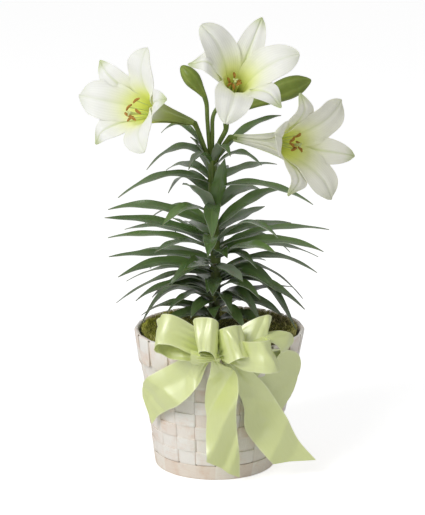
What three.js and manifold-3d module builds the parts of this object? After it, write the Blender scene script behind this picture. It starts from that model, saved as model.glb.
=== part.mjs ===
import * as THREE from "three";
import { mergeVertices } from "three/addons/utils/BufferGeometryUtils.js";
import Module from "manifold-3d";

// Easter lily with three open blooms and two buds, in a chip-wood basket with a ribbon bow.
// Millimetres, +Z up, the front towards -Y, the origin in the middle of the basket's underside.

const wasm = await Module();
wasm.setup();

// Driving dimensions
const GAP = 0.3;
const BASKET_HEIGHT = 141;
const WALL_FOOT_RADIUS = 58.5;
const WALL_RIM_RADIUS = 81.8;
const CHIP = 1.2;
const CHIP_STEP = CHIP + GAP;
const STAKE_COUNT = 20;
const STAKE_SIDE_GAP = 1.3;
const FLAP_FOOT = 111;
const BAND_HEIGHT = 15;
const WEAVER_COUNT = 7;
const WEAVER_FOOT = 16;
const WEAVER_PITCH = 13.75;
const WEAVER_HEIGHT = 13.1;
const HOOP_FOOT = 113;
const BASE_RADIUS = 57.4;
const BASE_THICKNESS = 3;
const BASKET_LEAN = 0.032;

const POT_FOOT_RADIUS = 54;
const POT_RIM_RADIUS = 74;
const POT_RIM_HEIGHT = 117;
const POT_WALL = 1.5;
const SOIL_TOP = 116;
const MOSS_RADIUS = 76.2;
const MOSS_THICKNESS = 22;

const STEM_FOOT = 100;
const STEM_TOP = 314;
const STEM_FOOT_RADIUS = 6;
const STEM_TOP_RADIUS = 4.4;
const LEAF_THICKNESS = 0.8;
const LEAF_TURN = 18;

const TEPAL_THICKNESS = 0.9;
const INNER_TEPAL_WIDTH = 37;
const OUTER_TEPAL_WIDTH = 26;
const WHORL_GAP = 1.9;
const RECEPTACLE_LENGTH = 17;
const STYLE_LEAD = 3;
const ANTHER_LENGTH = 11;

const RIBBON_WIDTH = 32;
const RIBBON_THICKNESS = 0.8;
const KNOT = new THREE.Vector3(2, -98, 142.5);
const KNOT_BACK = -91.5;
const PINCH_TOP = 145;
const WIRE_RADIUS = 0.6;

const vec = (point) => new THREE.Vector3(...point);
const degrees = THREE.MathUtils.degToRad;
const smoothstep = THREE.MathUtils.smoothstep;
const lerp = THREE.MathUtils.lerp;

// A repeatable draw between 0 and 1 for copy i, trait k
function wobble(i, k) {
  const value = Math.sin(i * 12.9898 + k * 78.233) * 43758.5453;
  return value - Math.floor(value);
}

// A smooth curve through rows of [t, value, value...], read at t
function follow(rows, t, column = 1) {
  const last = rows.length - 1;
  let i = 0;
  while (i < last - 1 && t > rows[i + 1][0]) i += 1;
  const slope = (k) => {
    const a = rows[Math.max(k - 1, 0)];
    const b = rows[Math.min(k + 1, last)];
    return (b[column] - a[column]) / (b[0] - a[0]);
  };
  const span = rows[i + 1][0] - rows[i][0];
  const x = THREE.MathUtils.clamp((t - rows[i][0]) / span, 0, 1);
  const rise = x * x * (3 - 2 * x);
  return rows[i][column] * (1 - rise) + rows[i + 1][column] * rise
    + slope(i) * span * x * (1 - x) ** 2 - slope(i + 1) * span * x * x * (1 - x);
}

// Closed solids
function solidFrom(points, triangles) {
  let volume = 0;
  for (const [a, b, c] of triangles) {
    volume += points[a].dot(new THREE.Vector3().crossVectors(points[b], points[c]));
  }
  const outward = volume > 0 ? triangles : triangles.map(([a, b, c]) => [a, c, b]);
  return new wasm.Manifold(new wasm.Mesh({
    numProp: 3,
    vertProperties: new Float32Array(points.flatMap((point) => point.toArray())),
    triVerts: new Uint32Array(outward.flat()),
  }));
}

function solidOf(geometry) {
  geometry.deleteAttribute("normal");
  geometry.deleteAttribute("uv");
  const merged = mergeVertices(geometry, 1e-3);
  const position = merged.getAttribute("position");
  const points = [];
  for (let i = 0; i < position.count; i += 1) {
    points.push(new THREE.Vector3().fromBufferAttribute(position, i));
  }
  const triangles = [];
  for (let i = 0; i < merged.index.count; i += 3) {
    const [a, b, c] = [0, 1, 2].map((k) => merged.index.getX(i + k));
    if (a !== b && b !== c && c !== a) triangles.push([a, b, c]);
  }
  return solidFrom(points, triangles);
}

// A skin through sections of equal count; both faces of a blade are split alike
function loft(sections, closed = false) {
  const count = sections[0].length;
  const half = count / 2;
  const triangles = [];
  const spans = closed ? sections.length : sections.length - 1;
  for (let i = 0; i < spans; i += 1) {
    const next = (i + 1) % sections.length;
    for (let k = 0; k < count; k += 1) {
      const a = i * count + k;
      const b = i * count + (k + 1) % count;
      const c = next * count + k;
      const d = next * count + (k + 1) % count;
      if (k < half) triangles.push([a, b, d], [a, d, c]);
      else triangles.push([a, b, c], [b, d, c]);
    }
  }
  if (!closed) {
    const end = (sections.length - 1) * count;
    for (let k = 0; k < half - 1; k += 1) {
      const [a, b, c, d] = [k, k + 1, count - 2 - k, count - 1 - k];
      triangles.push([a, c, b], [a, d, c]);
      triangles.push([end + a, end + b, end + c], [end + a, end + c, end + d]);
    }
  }
  return solidFrom(sections.flat(), triangles);
}

function fuse(solids) {
  const whole = solids.reduce((sum, solid) => sum.add(solid));
  const bodies = whole.decompose();
  bodies.sort((a, b) => b.volume() - a.volume());
  return bodies[0];
}

// A round rod along a curve, radius(t) from its start to its end
function rod(curve, radius, sides, segments) {
  const frames = curve.computeFrenetFrames(segments, false);
  const sections = [];
  for (let i = 0; i <= segments; i += 1) {
    const centre = curve.getPointAt(i / segments);
    const ring = [];
    for (let k = 0; k < sides; k += 1) {
      const angle = k / sides * 2 * Math.PI;
      ring.push(centre.clone()
        .addScaledVector(frames.normals[i], Math.cos(angle) * radius(i / segments))
        .addScaledVector(frames.binormals[i], Math.sin(angle) * radius(i / segments)));
    }
    sections.push(ring);
  }
  return loft(sections);
}

// The wall of the basket: flat stakes round a cone, and chips woven through them
const HALF_PITCH = Math.tan(Math.PI / STAKE_COUNT);
const stakeAngle = (i) => (i + 0.5) / STAKE_COUNT * 2 * Math.PI;
const wallRadius = (z) => lerp(WALL_FOOT_RADIUS, WALL_RIM_RADIUS, z / BASKET_HEIGHT);
const stakeHalfWidth = (z) => HALF_PITCH * (wallRadius(z) - CHIP / 2) - STAKE_SIDE_GAP;
const flapHalfWidth = (z) => HALF_PITCH * (wallRadius(z) + 2 * CHIP_STEP) - 0.9;

function stakeSolid() {
  const inside = -CHIP / 2;
  const outside = CHIP / 2;
  const flapInside = 2 * CHIP_STEP - CHIP / 2;
  const flapOutside = 2 * CHIP_STEP + CHIP / 2;
  const profile = [
    [inside, GAP], [outside, GAP],
    [outside, BASKET_HEIGHT - CHIP - 0.6], [outside + GAP, BASKET_HEIGHT - CHIP],
    [flapInside - GAP, BASKET_HEIGHT - CHIP], [flapInside, BASKET_HEIGHT - CHIP - 0.6],
    [flapInside, FLAP_FOOT], [flapOutside, FLAP_FOOT],
    [flapOutside, BASKET_HEIGHT - 1.3], [flapOutside - 0.9, BASKET_HEIGHT],
    [inside + 0.9, BASKET_HEIGHT], [inside, BASKET_HEIGHT - 1.3],
  ];
  const corners = profile.map(([r, z]) => new THREE.Vector2(r + wallRadius(z), z));
  const outline = new THREE.Shape(corners);
  const slab = new THREE.ExtrudeGeometry(outline, { depth: 1, bevelEnabled: false });
  const position = slab.getAttribute("position");
  for (let i = 0; i < position.count; i += 1) {
    const r = position.getX(i);
    const z = position.getY(i);
    const inFlap = r - wallRadius(z) > CHIP_STEP;
    const halfWidth = inFlap ? flapHalfWidth(z) : stakeHalfWidth(z);
    position.setXYZ(i, r, (position.getZ(i) * 2 - 1) * halfWidth, z);
  }
  return solidOf(slab);
}

// A chip ring that passes each stake flat, offset(i) outside or inside of stake i
function chipRing(foot, top, offset) {
  const sections = [];
  for (let i = 0; i < STAKE_COUNT; i += 1) {
    for (const side of [-1, 1]) {
      const corner = (z, shift) => new THREE.Vector3(
        wallRadius(z) + offset(i) + shift,
        side * (stakeHalfWidth(z) + 0.35),
        z,
      ).applyAxisAngle(new THREE.Vector3(0, 0, 1), stakeAngle(i));
      sections.push([
        corner(foot, -CHIP / 2), corner(foot, CHIP / 2),
        corner(top, CHIP / 2), corner(top, -CHIP / 2),
      ]);
    }
  }
  return loft(sections, true);
}

function disc(radius, foot, top, sides, x = 0) {
  const geometry = new THREE.CylinderGeometry(radius, radius, top - foot, sides);
  geometry.rotateX(Math.PI / 2);
  geometry.translate(x, 0, (foot + top) / 2);
  return solidOf(geometry);
}

function turned(profile, sides) {
  const geometry = new THREE.LatheGeometry(profile.map(([r, z]) => new THREE.Vector2(r, z)), sides);
  geometry.rotateX(Math.PI / 2);
  return solidOf(geometry);
}

// The plastic pot inside the basket, its soil and the moss on top
const POT_FOOT = BASE_THICKNESS + GAP;
const SOIL_FOOT = POT_FOOT + 2 + GAP;
const HOLE_RADIUS = STEM_FOOT_RADIUS + 0.9;

function potRadius(z) {
  return lerp(POT_FOOT_RADIUS, POT_RIM_RADIUS, (z - POT_FOOT) / (POT_RIM_HEIGHT - POT_FOOT));
}

function growPotSolid() {
  return turned([
    [0, POT_FOOT], [potRadius(POT_FOOT), POT_FOOT], [POT_RIM_RADIUS, POT_RIM_HEIGHT],
    [POT_RIM_RADIUS - POT_WALL, POT_RIM_HEIGHT],
    [potRadius(POT_FOOT) - POT_WALL, POT_FOOT + 2], [0, POT_FOOT + 2],
  ], 40);
}

function soilSolid() {
  const body = turned([
    [0, SOIL_FOOT], [potRadius(SOIL_FOOT) - POT_WALL - 2 * GAP, SOIL_FOOT],
    [potRadius(SOIL_TOP) - POT_WALL - 2 * GAP, SOIL_TOP], [0, SOIL_TOP],
  ], 40);
  const hole = disc(HOLE_RADIUS, STEM_FOOT - GAP, SOIL_TOP + 1, 12, -BASKET_LEAN * SOIL_TOP);
  return body.subtract(hole);
}

function mossSolid() {
  const foot = POT_RIM_HEIGHT + GAP;
  const shares = [0, 0.2, 0.42, 0.62, 0.8, 0.93, 1];
  const sides = 28;
  const sections = [];
  for (let j = 0; j < sides; j += 1) {
    const angle = j / sides * 2 * Math.PI;
    const ring = new THREE.Vector3(Math.cos(angle), Math.sin(angle), 0);
    const stemOffset = new THREE.Vector3(-BASKET_LEAN * 125, 0, foot);
    const hole = ring.clone().multiplyScalar(HOLE_RADIUS + 0.6).add(stemOffset);
    const rim = ring.clone().multiplyScalar(MOSS_RADIUS).setZ(foot);
    const top = shares.map((share, k) => {
      const height = (0.72 + 0.28 * wobble(j, k)) * (share === 1 ? 0.95 : 1);
      return hole.clone().lerp(rim, share).setZ(foot + MOSS_THICKNESS * height);
    });
    sections.push([...top, rim, hole]);
  }
  return loft(sections, true);
}

// Leaves: [height of the root, azimuth, reach, rise half-way, rise at the tip, width]
const LEFT_LEAVES = [
  [243, 169, 106, 19, 14, 13], [233, -172, 107, 18, 24, 12], [225, 153, 101, 14, 7, 15],
  [222, -166, 106, 18, 18, 14], [212, 175, 105, 6, 1, 12], [210, 143, 101, 5, -4, 15],
  [221, -131, 86, 17, 14, 16], [200, -168, 96, 13, 0, 14], [196, 153, 100, 3, -17, 13],
  [198, 171, 99, -5, -34, 13], [177, -152, 85, 18, 5, 13], [169, 143, 83, 9, -22, 17],
  [156, 157, 78, 9, -8, 13], [255, -131, 73, 14, 2, 15], [234, -144, 52, 14, 28, 14],
  [288, -174, 91, 8, -13, 15], [312, 162, 66, 10, -14, 15], [292, 132, 68, 10, -1, 14],
  [310, -125, 37, 11, -2, 11], [258, -145, 35, 22, 40, 17],
];
const RIGHT_LEAVES = [
  [282, -9, 97, 6, -13, 13], [243, 21, 70, 26, 34, 16], [240, 50, 78, 8, 12, 14],
  [229, -37, 74, 25, 15, 15], [225, 5, 112, 17, 15, 12], [233, 42, 104, 5, 0, 13],
  [217, -11, 106, 18, 8, 14], [214, 16, 106, 10, -6, 13], [214, -47, 82, 20, 20, 16],
  [200, -6, 99, 18, 2, 14], [196, 16, 90, 6, -30, 14], [190, -10, 88, 4, -24, 14],
  [194, 26, 80, -4, -46, 16], [173, -9, 66, 3, -14, 18], [208, -70, 74, 3, 0, 15],
  [163, 57, 59, 3, -7, 13], [305, -18, 48, 15, 4, 13], [310, 21, 71, 32, 42, 10],
  [310, -65, 39, 20, 12, 12],
];
const FRONT_LEAVES = [
  [266, -91, 75, 0, -18, 16], [235, -95, 75, 6, -3, 15], [208, -108, 84, 10, 17, 14],
  [195, -92, 70, 4, 0, 14], [260, -60, 19, 29, 55, 17], [306, -160, 20, 18, 30, 9],
];
const BACK_LEAF_COUNT = 15;

function backLeaf(i) {
  const share = i / (BACK_LEAF_COUNT - 1);
  const azimuth = 90 + 62 * (((i * 0.618) % 1) * 2 - 1);
  const fullness = Math.sin(Math.PI * Math.min(share + 0.25, 1));
  const reach = 74 + 26 * fullness * (0.7 + 0.3 * wobble(i, 1));
  const midRise = 10 + 10 * wobble(i, 2);
  const tipRise = 14 - 26 * wobble(i, 3);
  return [168 + 130 * share, azimuth, reach, midRise, tipRise, 13 + 3 * wobble(i, 4)];
}

const BACK_LEAVES = Array.from({ length: BACK_LEAF_COUNT }, (unused, i) => backLeaf(i));
const LEAVES = [...LEFT_LEAVES, ...RIGHT_LEAVES, ...FRONT_LEAVES, ...BACK_LEAVES];

const stemLine = new THREE.CatmullRomCurve3([
  new THREE.Vector3(0, 0, STEM_FOOT), new THREE.Vector3(-1, 0, 150), new THREE.Vector3(0.5, 0.5, 205),
  new THREE.Vector3(-1.5, 0, 262), new THREE.Vector3(-3, 0, STEM_TOP),
]);
const stemAt = (z) => stemLine.getPoint((z - STEM_FOOT) / (STEM_TOP - STEM_FOOT));
const leafWidth = (t) => Math.sin(Math.PI * (0.12 + 0.88 * Math.min(t, 0.985))) ** 0.9;

function leafSolid([height, azimuth, reach, midRise, tipRise, width], number) {
  const outward = new THREE.Vector3(Math.cos(degrees(azimuth)), Math.sin(degrees(azimuth)), 0);
  const up = new THREE.Vector3(0, 0, 1);
  const turn = degrees(LEAF_TURN * outward.x + 20 * (wobble(number, 7) - 0.5));
  const across = new THREE.Vector3(-outward.y, outward.x, 0)
    .multiplyScalar(Math.cos(turn)).addScaledVector(up, Math.sin(turn));
  const root = stemAt(height).addScaledVector(outward, 2.8);
  const middle = root.clone().addScaledVector(outward, reach * 0.5).addScaledVector(up, midRise);
  const tip = root.clone().addScaledVector(outward, reach).addScaledVector(up, tipRise);
  const control = middle.clone().multiplyScalar(2)
    .addScaledVector(root, -0.5).addScaledVector(tip, -0.5);
  const spine = new THREE.QuadraticBezierCurve3(root, control, tip);
  const segments = reach > 60 ? 5 : 4;
  const sections = [];
  for (let i = 0; i <= segments; i += 1) {
    const t = i / segments;
    const half = width / 2 * leafWidth(t);
    const normal = new THREE.Vector3().crossVectors(spine.getTangent(t), across).normalize();
    const place = (side, lift) => spine.getPoint(t)
      .addScaledVector(across, side * half)
      .addScaledVector(normal, lift * LEAF_THICKNESS / 2);
    sections.push([place(-1, 1), place(1, 1), place(1, -1), place(-1, -1)]);
  }
  return loft(sections);
}

// Blooms: where the tube starts and points, how it bends on the way to its mouth and how it is rolled;
// for each tepal its turn to the side, how far its tip curls back, the share of its length where
// the curl starts and how much farther out it reaches; how far the stamens reach, spread and hang
const BLOOMS = [
  {
    name: "bloom_left", base: [-19.8, -5, 349.3], yaw: -38.5, lift: 18.6, bend: [-2, -3.5], roll: 125.5,
    scale: 1.03, innerParity: 1,
    tepals: [
      [12, 8, 0.72, 0], [2, 4, 0.72, 0], [2, -2, 0.72, 0],
      [5, 7, 0.72, 0], [-16, 14, 0.72, 0], [-8, 6, 0.72, 0],
    ],
    stamens: { reach: 92, spread: 7.5, towards: [0, -4.5] },
  },
  {
    name: "bloom_centre", base: [10.8, -5, 348.6], yaw: 6.8, lift: 42.4, bend: [6.7, -5.5], roll: 128.5,
    scale: 1, innerParity: 0,
    tepals: [
      [5, 5, 0.72, 0], [-1, 3, 0.72, 0], [5, 4, 0.72, 0],
      [4, 14, 0.72, 0], [3, 20, 0.72, 8], [-18, 20, 0.72, 0],
    ],
    stamens: { reach: 77, spread: 6, towards: [-3, -1] },
  },
  {
    name: "bloom_right", base: [14.7, -5, 335.7], yaw: 50.6, lift: -1.6, bend: [-5, 5.8], roll: 106.2,
    scale: 1.01, innerParity: 1,
    tepals: [
      [-7, 14, 0.72, 0], [1, 5, 0.72, 0], [-2, 3, 0.72, 0],
      [4, 6, 0.72, 0], [11, 16, 0.72, 0], [-6, 30, 0.4, 0],
    ],
    stamens: { reach: 86, spread: 7, towards: [0, -2] },
  },
];
// Buds: base, tip, greatest radius and where along the bud it lies
const BUDS = [
  { name: "bud_left", base: [-4.9, 5, 367.8], tip: [-33.2, 5, 404.2], radius: 8.6, widest: 0.55 },
  { name: "bud_right", base: [24.6, 10, 361], tip: [94.6, 15, 389], radius: 11.5, widest: 0.68 },
];

function bloomAxes({ yaw, lift }) {
  const axis = new THREE.Vector3(
    Math.sin(degrees(yaw)) * Math.cos(degrees(lift)),
    -Math.cos(degrees(yaw)) * Math.cos(degrees(lift)),
    Math.sin(degrees(lift)),
  );
  const first = new THREE.Vector3().crossVectors(new THREE.Vector3(0, 0, 1), axis).normalize();
  const second = new THREE.Vector3().crossVectors(axis, first);
  return { axis, first, second };
}

// Each stalk leaves the top of the stem and meets its bloom or bud end to end
function stalkSolid(base, axis, lean, radius) {
  const end = vec(base).addScaledVector(axis, -GAP);
  const neck = end.clone().addScaledVector(axis, -11);
  const foot = new THREE.Vector3(-3 + lean * 1.5, lean * 0.5, STEM_TOP - 8);
  const middle = foot.clone().lerp(neck, 0.5).add(new THREE.Vector3(lean, 0, 4));
  const line = new THREE.CatmullRomCurve3([foot, middle, neck, end], false, "centripetal");
  return rod(line, (t) => lerp(radius * 0.9, radius, t), 6, 5);
}

function leafyStemSolid() {
  const stem = rod(stemLine, (t) => lerp(STEM_FOOT_RADIUS, STEM_TOP_RADIUS, t), 8, 8);
  const stalks = [
    ...BLOOMS.map((bloom, i) => stalkSolid(bloom.base, bloomAxes(bloom).axis, i - 1, 2.6)),
    ...BUDS.map((bud, i) => {
      const axis = vec(bud.tip).sub(vec(bud.base)).normalize();
      return stalkSolid(bud.base, axis, i - 0.5, 2.2);
    }),
  ];
  return fuse([stem, ...stalks, ...LEAVES.map(leafSolid)]);
}

// Tepal midline: [share of its length, distance along the bloom, distance from its axis]
const TEPAL_LINE = [
  [0, 0, 2], [0.15, 20, 3.7], [0.3, 40, 5.8], [0.45, 60, 9.2], [0.59, 78, 14.3],
  [0.7, 92, 22.3], [0.81, 103, 33], [0.89, 109, 43], [0.95, 112, 51], [1, 112.5, 57],
];
const INNER_OUTLINE = [
  [0, 0.1], [0.15, 0.16], [0.3, 0.25], [0.45, 0.42], [0.55, 0.72], [0.68, 0.96], [0.77, 1],
  [0.88, 0.83], [0.95, 0.5], [0.985, 0.24], [1, 0.06],
];
const OUTER_OUTLINE = [
  [0, 0.1], [0.15, 0.24], [0.3, 0.38], [0.45, 0.56], [0.55, 0.74], [0.66, 0.97], [0.74, 1],
  [0.86, 0.78], [0.95, 0.4], [0.985, 0.18], [1, 0.07],
];
const TEPAL_STATIONS = [0.07, 0.3, 0.52, 0.67, 0.79, 0.9, 0.97, 1];

// A point of the straight bloom, carried along its gentle bend
const BLOOM_LENGTH = 112;

function bent(point, [firstDegrees, secondDegrees]) {
  const towards = new THREE.Vector3(degrees(firstDegrees), degrees(secondDegrees), 0);
  const radius = BLOOM_LENGTH / towards.length();
  towards.normalize();
  const beside = new THREE.Vector3(-towards.y, towards.x, 0);
  const angle = point.z / radius;
  const near = point.dot(towards);
  return beside.multiplyScalar(point.dot(beside))
    .addScaledVector(towards, radius * (1 - Math.cos(angle)) + near * Math.cos(angle))
    .add(new THREE.Vector3(0, 0, radius * Math.sin(angle) - near * Math.sin(angle)));
}

// In the bloom's own frame: its axis starts along +Z
function tepalSolid(bloom, index) {
  const inner = index % 2 === bloom.innerParity;
  const [turnAside, curl, curlStart, longer] = bloom.tepals[index];
  const angle = degrees(bloom.roll - 60 * index + turnAside);
  const outward = new THREE.Vector3(Math.cos(angle), Math.sin(angle), 0);
  const across = new THREE.Vector3(-Math.sin(angle), Math.cos(angle), 0);
  const halfWidth = (inner ? INNER_TEPAL_WIDTH : OUTER_TEPAL_WIDTH) / 2;
  const spans = 3;
  const line = (t) => {
    const curled = curl * smoothstep(t, curlStart, 1) ** 2;
    const r = follow(TEPAL_LINE, t, 2) - 0.35 * curled + longer * smoothstep(t, 0.6, 1);
    return { s: follow(TEPAL_LINE, t, 1) - curled, r };
  };
  const sections = TEPAL_STATIONS.map((t) => {
    const { s, r } = line(t);
    const ahead = line(Math.min(t + 0.01, 1));
    const behind = line(Math.min(t + 0.01, 1) - 0.02);
    const slope = new THREE.Vector2(ahead.s - behind.s, ahead.r - behind.r).normalize();
    const half = halfWidth * follow(inner ? INNER_OUTLINE : OUTER_OUTLINE, t);
    const bend = r * (1 + 3 * smoothstep(s, 90, 110));
    const back = inner ? 0 : WHORL_GAP * (0.5 + 0.7 * t);
    const place = (share, lift) => {
      const turn = share * half / bend;
      const offset = lift + back;
      const radial = r - bend * (1 - Math.cos(turn)) + slope.x * offset * Math.cos(turn);
      const point = new THREE.Vector3(0, 0, s - slope.y * offset)
        .addScaledVector(outward, radial)
        .addScaledVector(across, bend * Math.sin(turn) + slope.x * offset * Math.sin(turn));
      return bent(point, bloom.bend).multiplyScalar(bloom.scale);
    };
    const shares = Array.from({ length: spans + 1 }, (unused, k) => k / spans * 2 - 1);
    const lift = TEPAL_THICKNESS / 2;
    return [
      ...shares.map((share) => place(share, -lift)),
      ...shares.reverse().map((share) => place(share, lift)),
    ];
  });
  return loft(sections);
}

function perianthSolid(bloom) {
  const receptacle = turned([
    [0, 0], [2.3, 0], [4, RECEPTACLE_LENGTH * 0.7], [4.8, RECEPTACLE_LENGTH], [0, RECEPTACLE_LENGTH],
  ], 12);
  const tepals = [0, 1, 2, 3, 4, 5].map((index) => tepalSolid(bloom, index));
  return fuse([receptacle, ...tepals]);
}

// Six anthers on thin filaments and the pistil, standing on one ovary
function stamensSolid(bloom) {
  const { reach, spread, towards } = bloom.stamens;
  const foot = RECEPTACLE_LENGTH + GAP;
  const at = (s, aside, share) => {
    const hang = new THREE.Vector3(towards[0] * share, towards[1] * share, s);
    return bent(aside.clone().add(hang), bloom.bend);
  };
  const pieces = [turned([[0, foot], [2.4, foot], [2.1, foot + 12], [0, foot + 12]], 6)];
  for (let i = 0; i < 6; i += 1) {
    const angle = degrees(bloom.roll - 60 * i + 14);
    const outward = new THREE.Vector3(Math.cos(angle), Math.sin(angle), 0);
    const across = new THREE.Vector3(-Math.sin(angle), Math.cos(angle), 0);
    const aside = spread * (0.7 + 0.6 * wobble(i, 8));
    const middle = at(reach - 3 + 6 * wobble(i, 5), outward.clone().multiplyScalar(aside), 1);
    const line = new THREE.LineCurve3(at(foot + 8, outward.clone().multiplyScalar(1.2), 0), middle);
    pieces.push(rod(line, () => 0.8, 4, 1));
    const half = across.multiplyScalar(0.8).addScaledVector(outward, 0.6 * (wobble(i, 6) - 0.3))
      .setLength(ANTHER_LENGTH / 2);
    const anther = new THREE.LineCurve3(middle.clone().sub(half), middle.clone().add(half));
    pieces.push(rod(anther, (t) => 0.5 + 1.3 * Math.sin(Math.PI * t), 4, 2));
  }
  const middle = new THREE.Vector3();
  const style = new THREE.CatmullRomCurve3([
    at(foot + 8, middle, 0), at(60, middle, 0.5), at(reach + STYLE_LEAD, new THREE.Vector3(1, 0, 0), 1.1),
  ]);
  pieces.push(rod(style, (t) => 1 + 2 * smoothstep(t, 0.7, 1), 4, 3));
  return fuse(pieces);
}

// A closed bud of six ribs that swells towards its tip
function budSolid({ base, tip, radius, widest }) {
  const outline = [
    [0, 0.27], [widest * 0.3, 0.5], [widest * 0.7, 0.86], [widest, 1], [(1 + widest) / 2, 0.82],
    [0.96, 0.36], [1, 0.12],
  ];
  const middle = vec(base).lerp(vec(tip), 0.5).add(new THREE.Vector3(0, 0, 2.5));
  const line = new THREE.QuadraticBezierCurve3(vec(base), middle, vec(tip));
  const sides = 12;
  const frames = line.computeFrenetFrames(8, false);
  const sections = [];
  for (let i = 0; i <= 8; i += 1) {
    const centre = line.getPointAt(i / 8);
    const ring = [];
    for (let k = 0; k < sides; k += 1) {
      const angle = k / sides * 2 * Math.PI;
      const rib = k % 2 === 0 ? 1 : 0.93;
      const r = radius * rib * follow(outline, i / 8);
      ring.push(centre.clone()
        .addScaledVector(frames.normals[i], Math.cos(angle) * r)
        .addScaledVector(frames.binormals[i], Math.sin(angle) * r));
    }
    sections.push(ring);
  }
  return loft(sections);
}

// Ribbon: a strip between two edges, or a loop out from the knot and back
function ribbonSection(a, b, along) {
  const across = b.clone().sub(a).normalize();
  const normal = new THREE.Vector3().crossVectors(across, along).normalize();
  const lift = RIBBON_THICKNESS / 2;
  return [
    a.clone().addScaledVector(normal, lift), b.clone().addScaledVector(normal, lift),
    b.clone().addScaledVector(normal, -lift), a.clone().addScaledVector(normal, -lift),
  ];
}

function ribbonStrip(pairs, segments) {
  const first = new THREE.CatmullRomCurve3(pairs.map(([a]) => vec(a)));
  const second = new THREE.CatmullRomCurve3(pairs.map(([, b]) => vec(b)));
  const sections = [];
  for (let i = 0; i <= segments; i += 1) {
    const t = i / segments;
    const along = first.getTangent(t).add(second.getTangent(t)).normalize();
    sections.push(ribbonSection(first.getPoint(t), second.getPoint(t), along));
  }
  return loft(sections);
}

// Loops of the bow: middle of the outer end, lie of the ribbon's width, and how far the loop opens
// at its lower and upper edge
const LOOPS = [
  { end: [-56, -92, 161.5], width: [-0.02, 0.77, 0.64], opening: [29, 29] },
  { end: [-12, -124, 170.5], width: [-0.03, 0.47, 0.88], opening: [18, 26] },
  { end: [23, -121, 161], width: [-0.28, 0.45, 0.85], opening: [14, 25] },
  { end: [56, -118, 146], width: [-0.3, 0.2, 0.93], opening: [24, 26] },
  { end: [51, -88, 161], width: [0.18, 0.65, 0.74], opening: [12, 20] },
  { end: [73, -93, 152], width: [-0.1, 0.4, 0.91], opening: [22, 22] },
];

function loopSolid({ end, width, opening }) {
  const outward = vec(end).sub(KNOT);
  const length = outward.length();
  outward.normalize();
  const across = vec(width).normalize();
  const side = new THREE.Vector3().crossVectors(outward, across).normalize();
  const steps = 9;
  const edge = (turn, share) => {
    const out = (1 - Math.cos(turn)) / 2;
    const half = lerp(4, RIBBON_WIDTH / 2, smoothstep(Math.sin(turn / 2), 0.15, 0.75));
    return KNOT.clone()
      .addScaledVector(outward, length * out)
      .addScaledVector(side, opening[share] / 1.3 * Math.sin(turn) * out)
      .addScaledVector(across, share === 0 ? -half : half);
  };
  const middle = (turn) => edge(turn, 0).lerp(edge(turn, 1), 0.5);
  const sections = [];
  for (let i = 0; i <= steps; i += 1) {
    const turn = lerp(0.75, 2 * Math.PI - 0.75, i / steps);
    const along = middle(turn + 0.02).sub(middle(turn - 0.02)).normalize();
    sections.push(ribbonSection(edge(turn, 0), edge(turn, 1), along));
  }
  return loft(sections);
}

// The gathered middle of the bow: eight-sided, flat at the back
function knotSolid() {
  const profile = [[0, 7, 6.5], [3.5, 9, 8], [10, 8, 7], [13, 4, 3.5]];
  const sections = profile.map(([forward, halfWidth, halfHeight]) => {
    const ring = [];
    for (let k = 0; k < 8; k += 1) {
      const angle = (k + 0.5) / 8 * 2 * Math.PI;
      const corner = new THREE.Vector3(halfWidth * Math.cos(angle), 0, halfHeight * Math.sin(angle));
      ring.push(corner.add(KNOT).setY(KNOT_BACK - forward));
    }
    return ring;
  });
  return loft(sections);
}

function bowLoopsSolid() {
  return fuse([knotSolid(), ...LOOPS.map(loopSolid)]);
}

// A point in front of the basket, clear of its wall by the given distance
const outsideRadius = (z) => wallRadius(z) + 2 * CHIP_STEP + CHIP / 2;

function onWall(x, z, clear) {
  const radius = outsideRadius(z) + clear;
  const fromMiddle = x - BASKET_LEAN * z;
  return [x, -Math.sqrt(radius * radius - fromMiddle * fromMiddle), z];
}

// Tails: pairs of points on the ribbon's two edges, from the knot to the cut end
const TAIL_LEFT = [
  [[-2, -89, 143], [-2, -89, 136]],
  [onWall(-14, 140, 3), onWall(-8, 126, 3)],
  [onWall(-32, 131, 3), onWall(-16, 105, 3)],
  [onWall(-50, 118, 5), onWall(-30, 87, 4)],
  [onWall(-63, 107, 9), onWall(-45, 76, 5)],
  [onWall(-70, 97, 10), onWall(-56, 64, 5)],
  [onWall(-72, 82, 11), onWall(-63, 52, 6)],
];
const TAIL_CENTRE = [
  [[-4, -89.5, 139], [0.8, -89.5, 139]],
  [[-4.2, -90.3, 134.6], [1.4, -90.6, 134.4]],
  [onWall(-4, 130, 7), onWall(8, 129.5, 9)],
  [onWall(-5, 121, 8), onWall(20, 123, 10)],
  [onWall(-8, 108, 7), onWall(24, 112, 12)],
  [onWall(-10, 88, 4), onWall(24, 90, 14)],
  [onWall(-8, 68, 4), onWall(23, 70, 12)],
  [onWall(-9, 50, 6), onWall(23, 44, 7)],
  [onWall(-12, 34, 9), onWall(23, 7, 3)],
];
const TAIL_RIGHT = [
  [[3, -88, 138], [8, -88, 141]],
  [onWall(12, 122, 3.4), onWall(24, 132, 4)],
  [onWall(21, 101, 3.5), onWall(38, 117, 6)],
  [onWall(28, 80, 4), onWall(51, 100, 8)],
  [[29.5, -71, 57], [66, -60, 72]],
  [[40, -69, 40], [82, -58, 42]],
  [[56.5, -63, 19.4], [100.5, -56, 19.3]],
];
const TAIL_FAR = [
  [[7, -89, 143], [7, -89, 137]],
  [onWall(24, 138, 2), onWall(22, 122, 2)],
  [onWall(54, 138, 3), onWall(40, 106, 2)],
  [onWall(82, 126, 7), onWall(52, 90, 3)],
  [onWall(85, 103, 11), onWall(56, 74, 3)],
  [onWall(75, 80, 7), onWall(62, 62, 3)],
];
const PINCH_LEFT = [-5, 1.85];
const PINCH_RIGHT = [2.15, 9];

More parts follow.
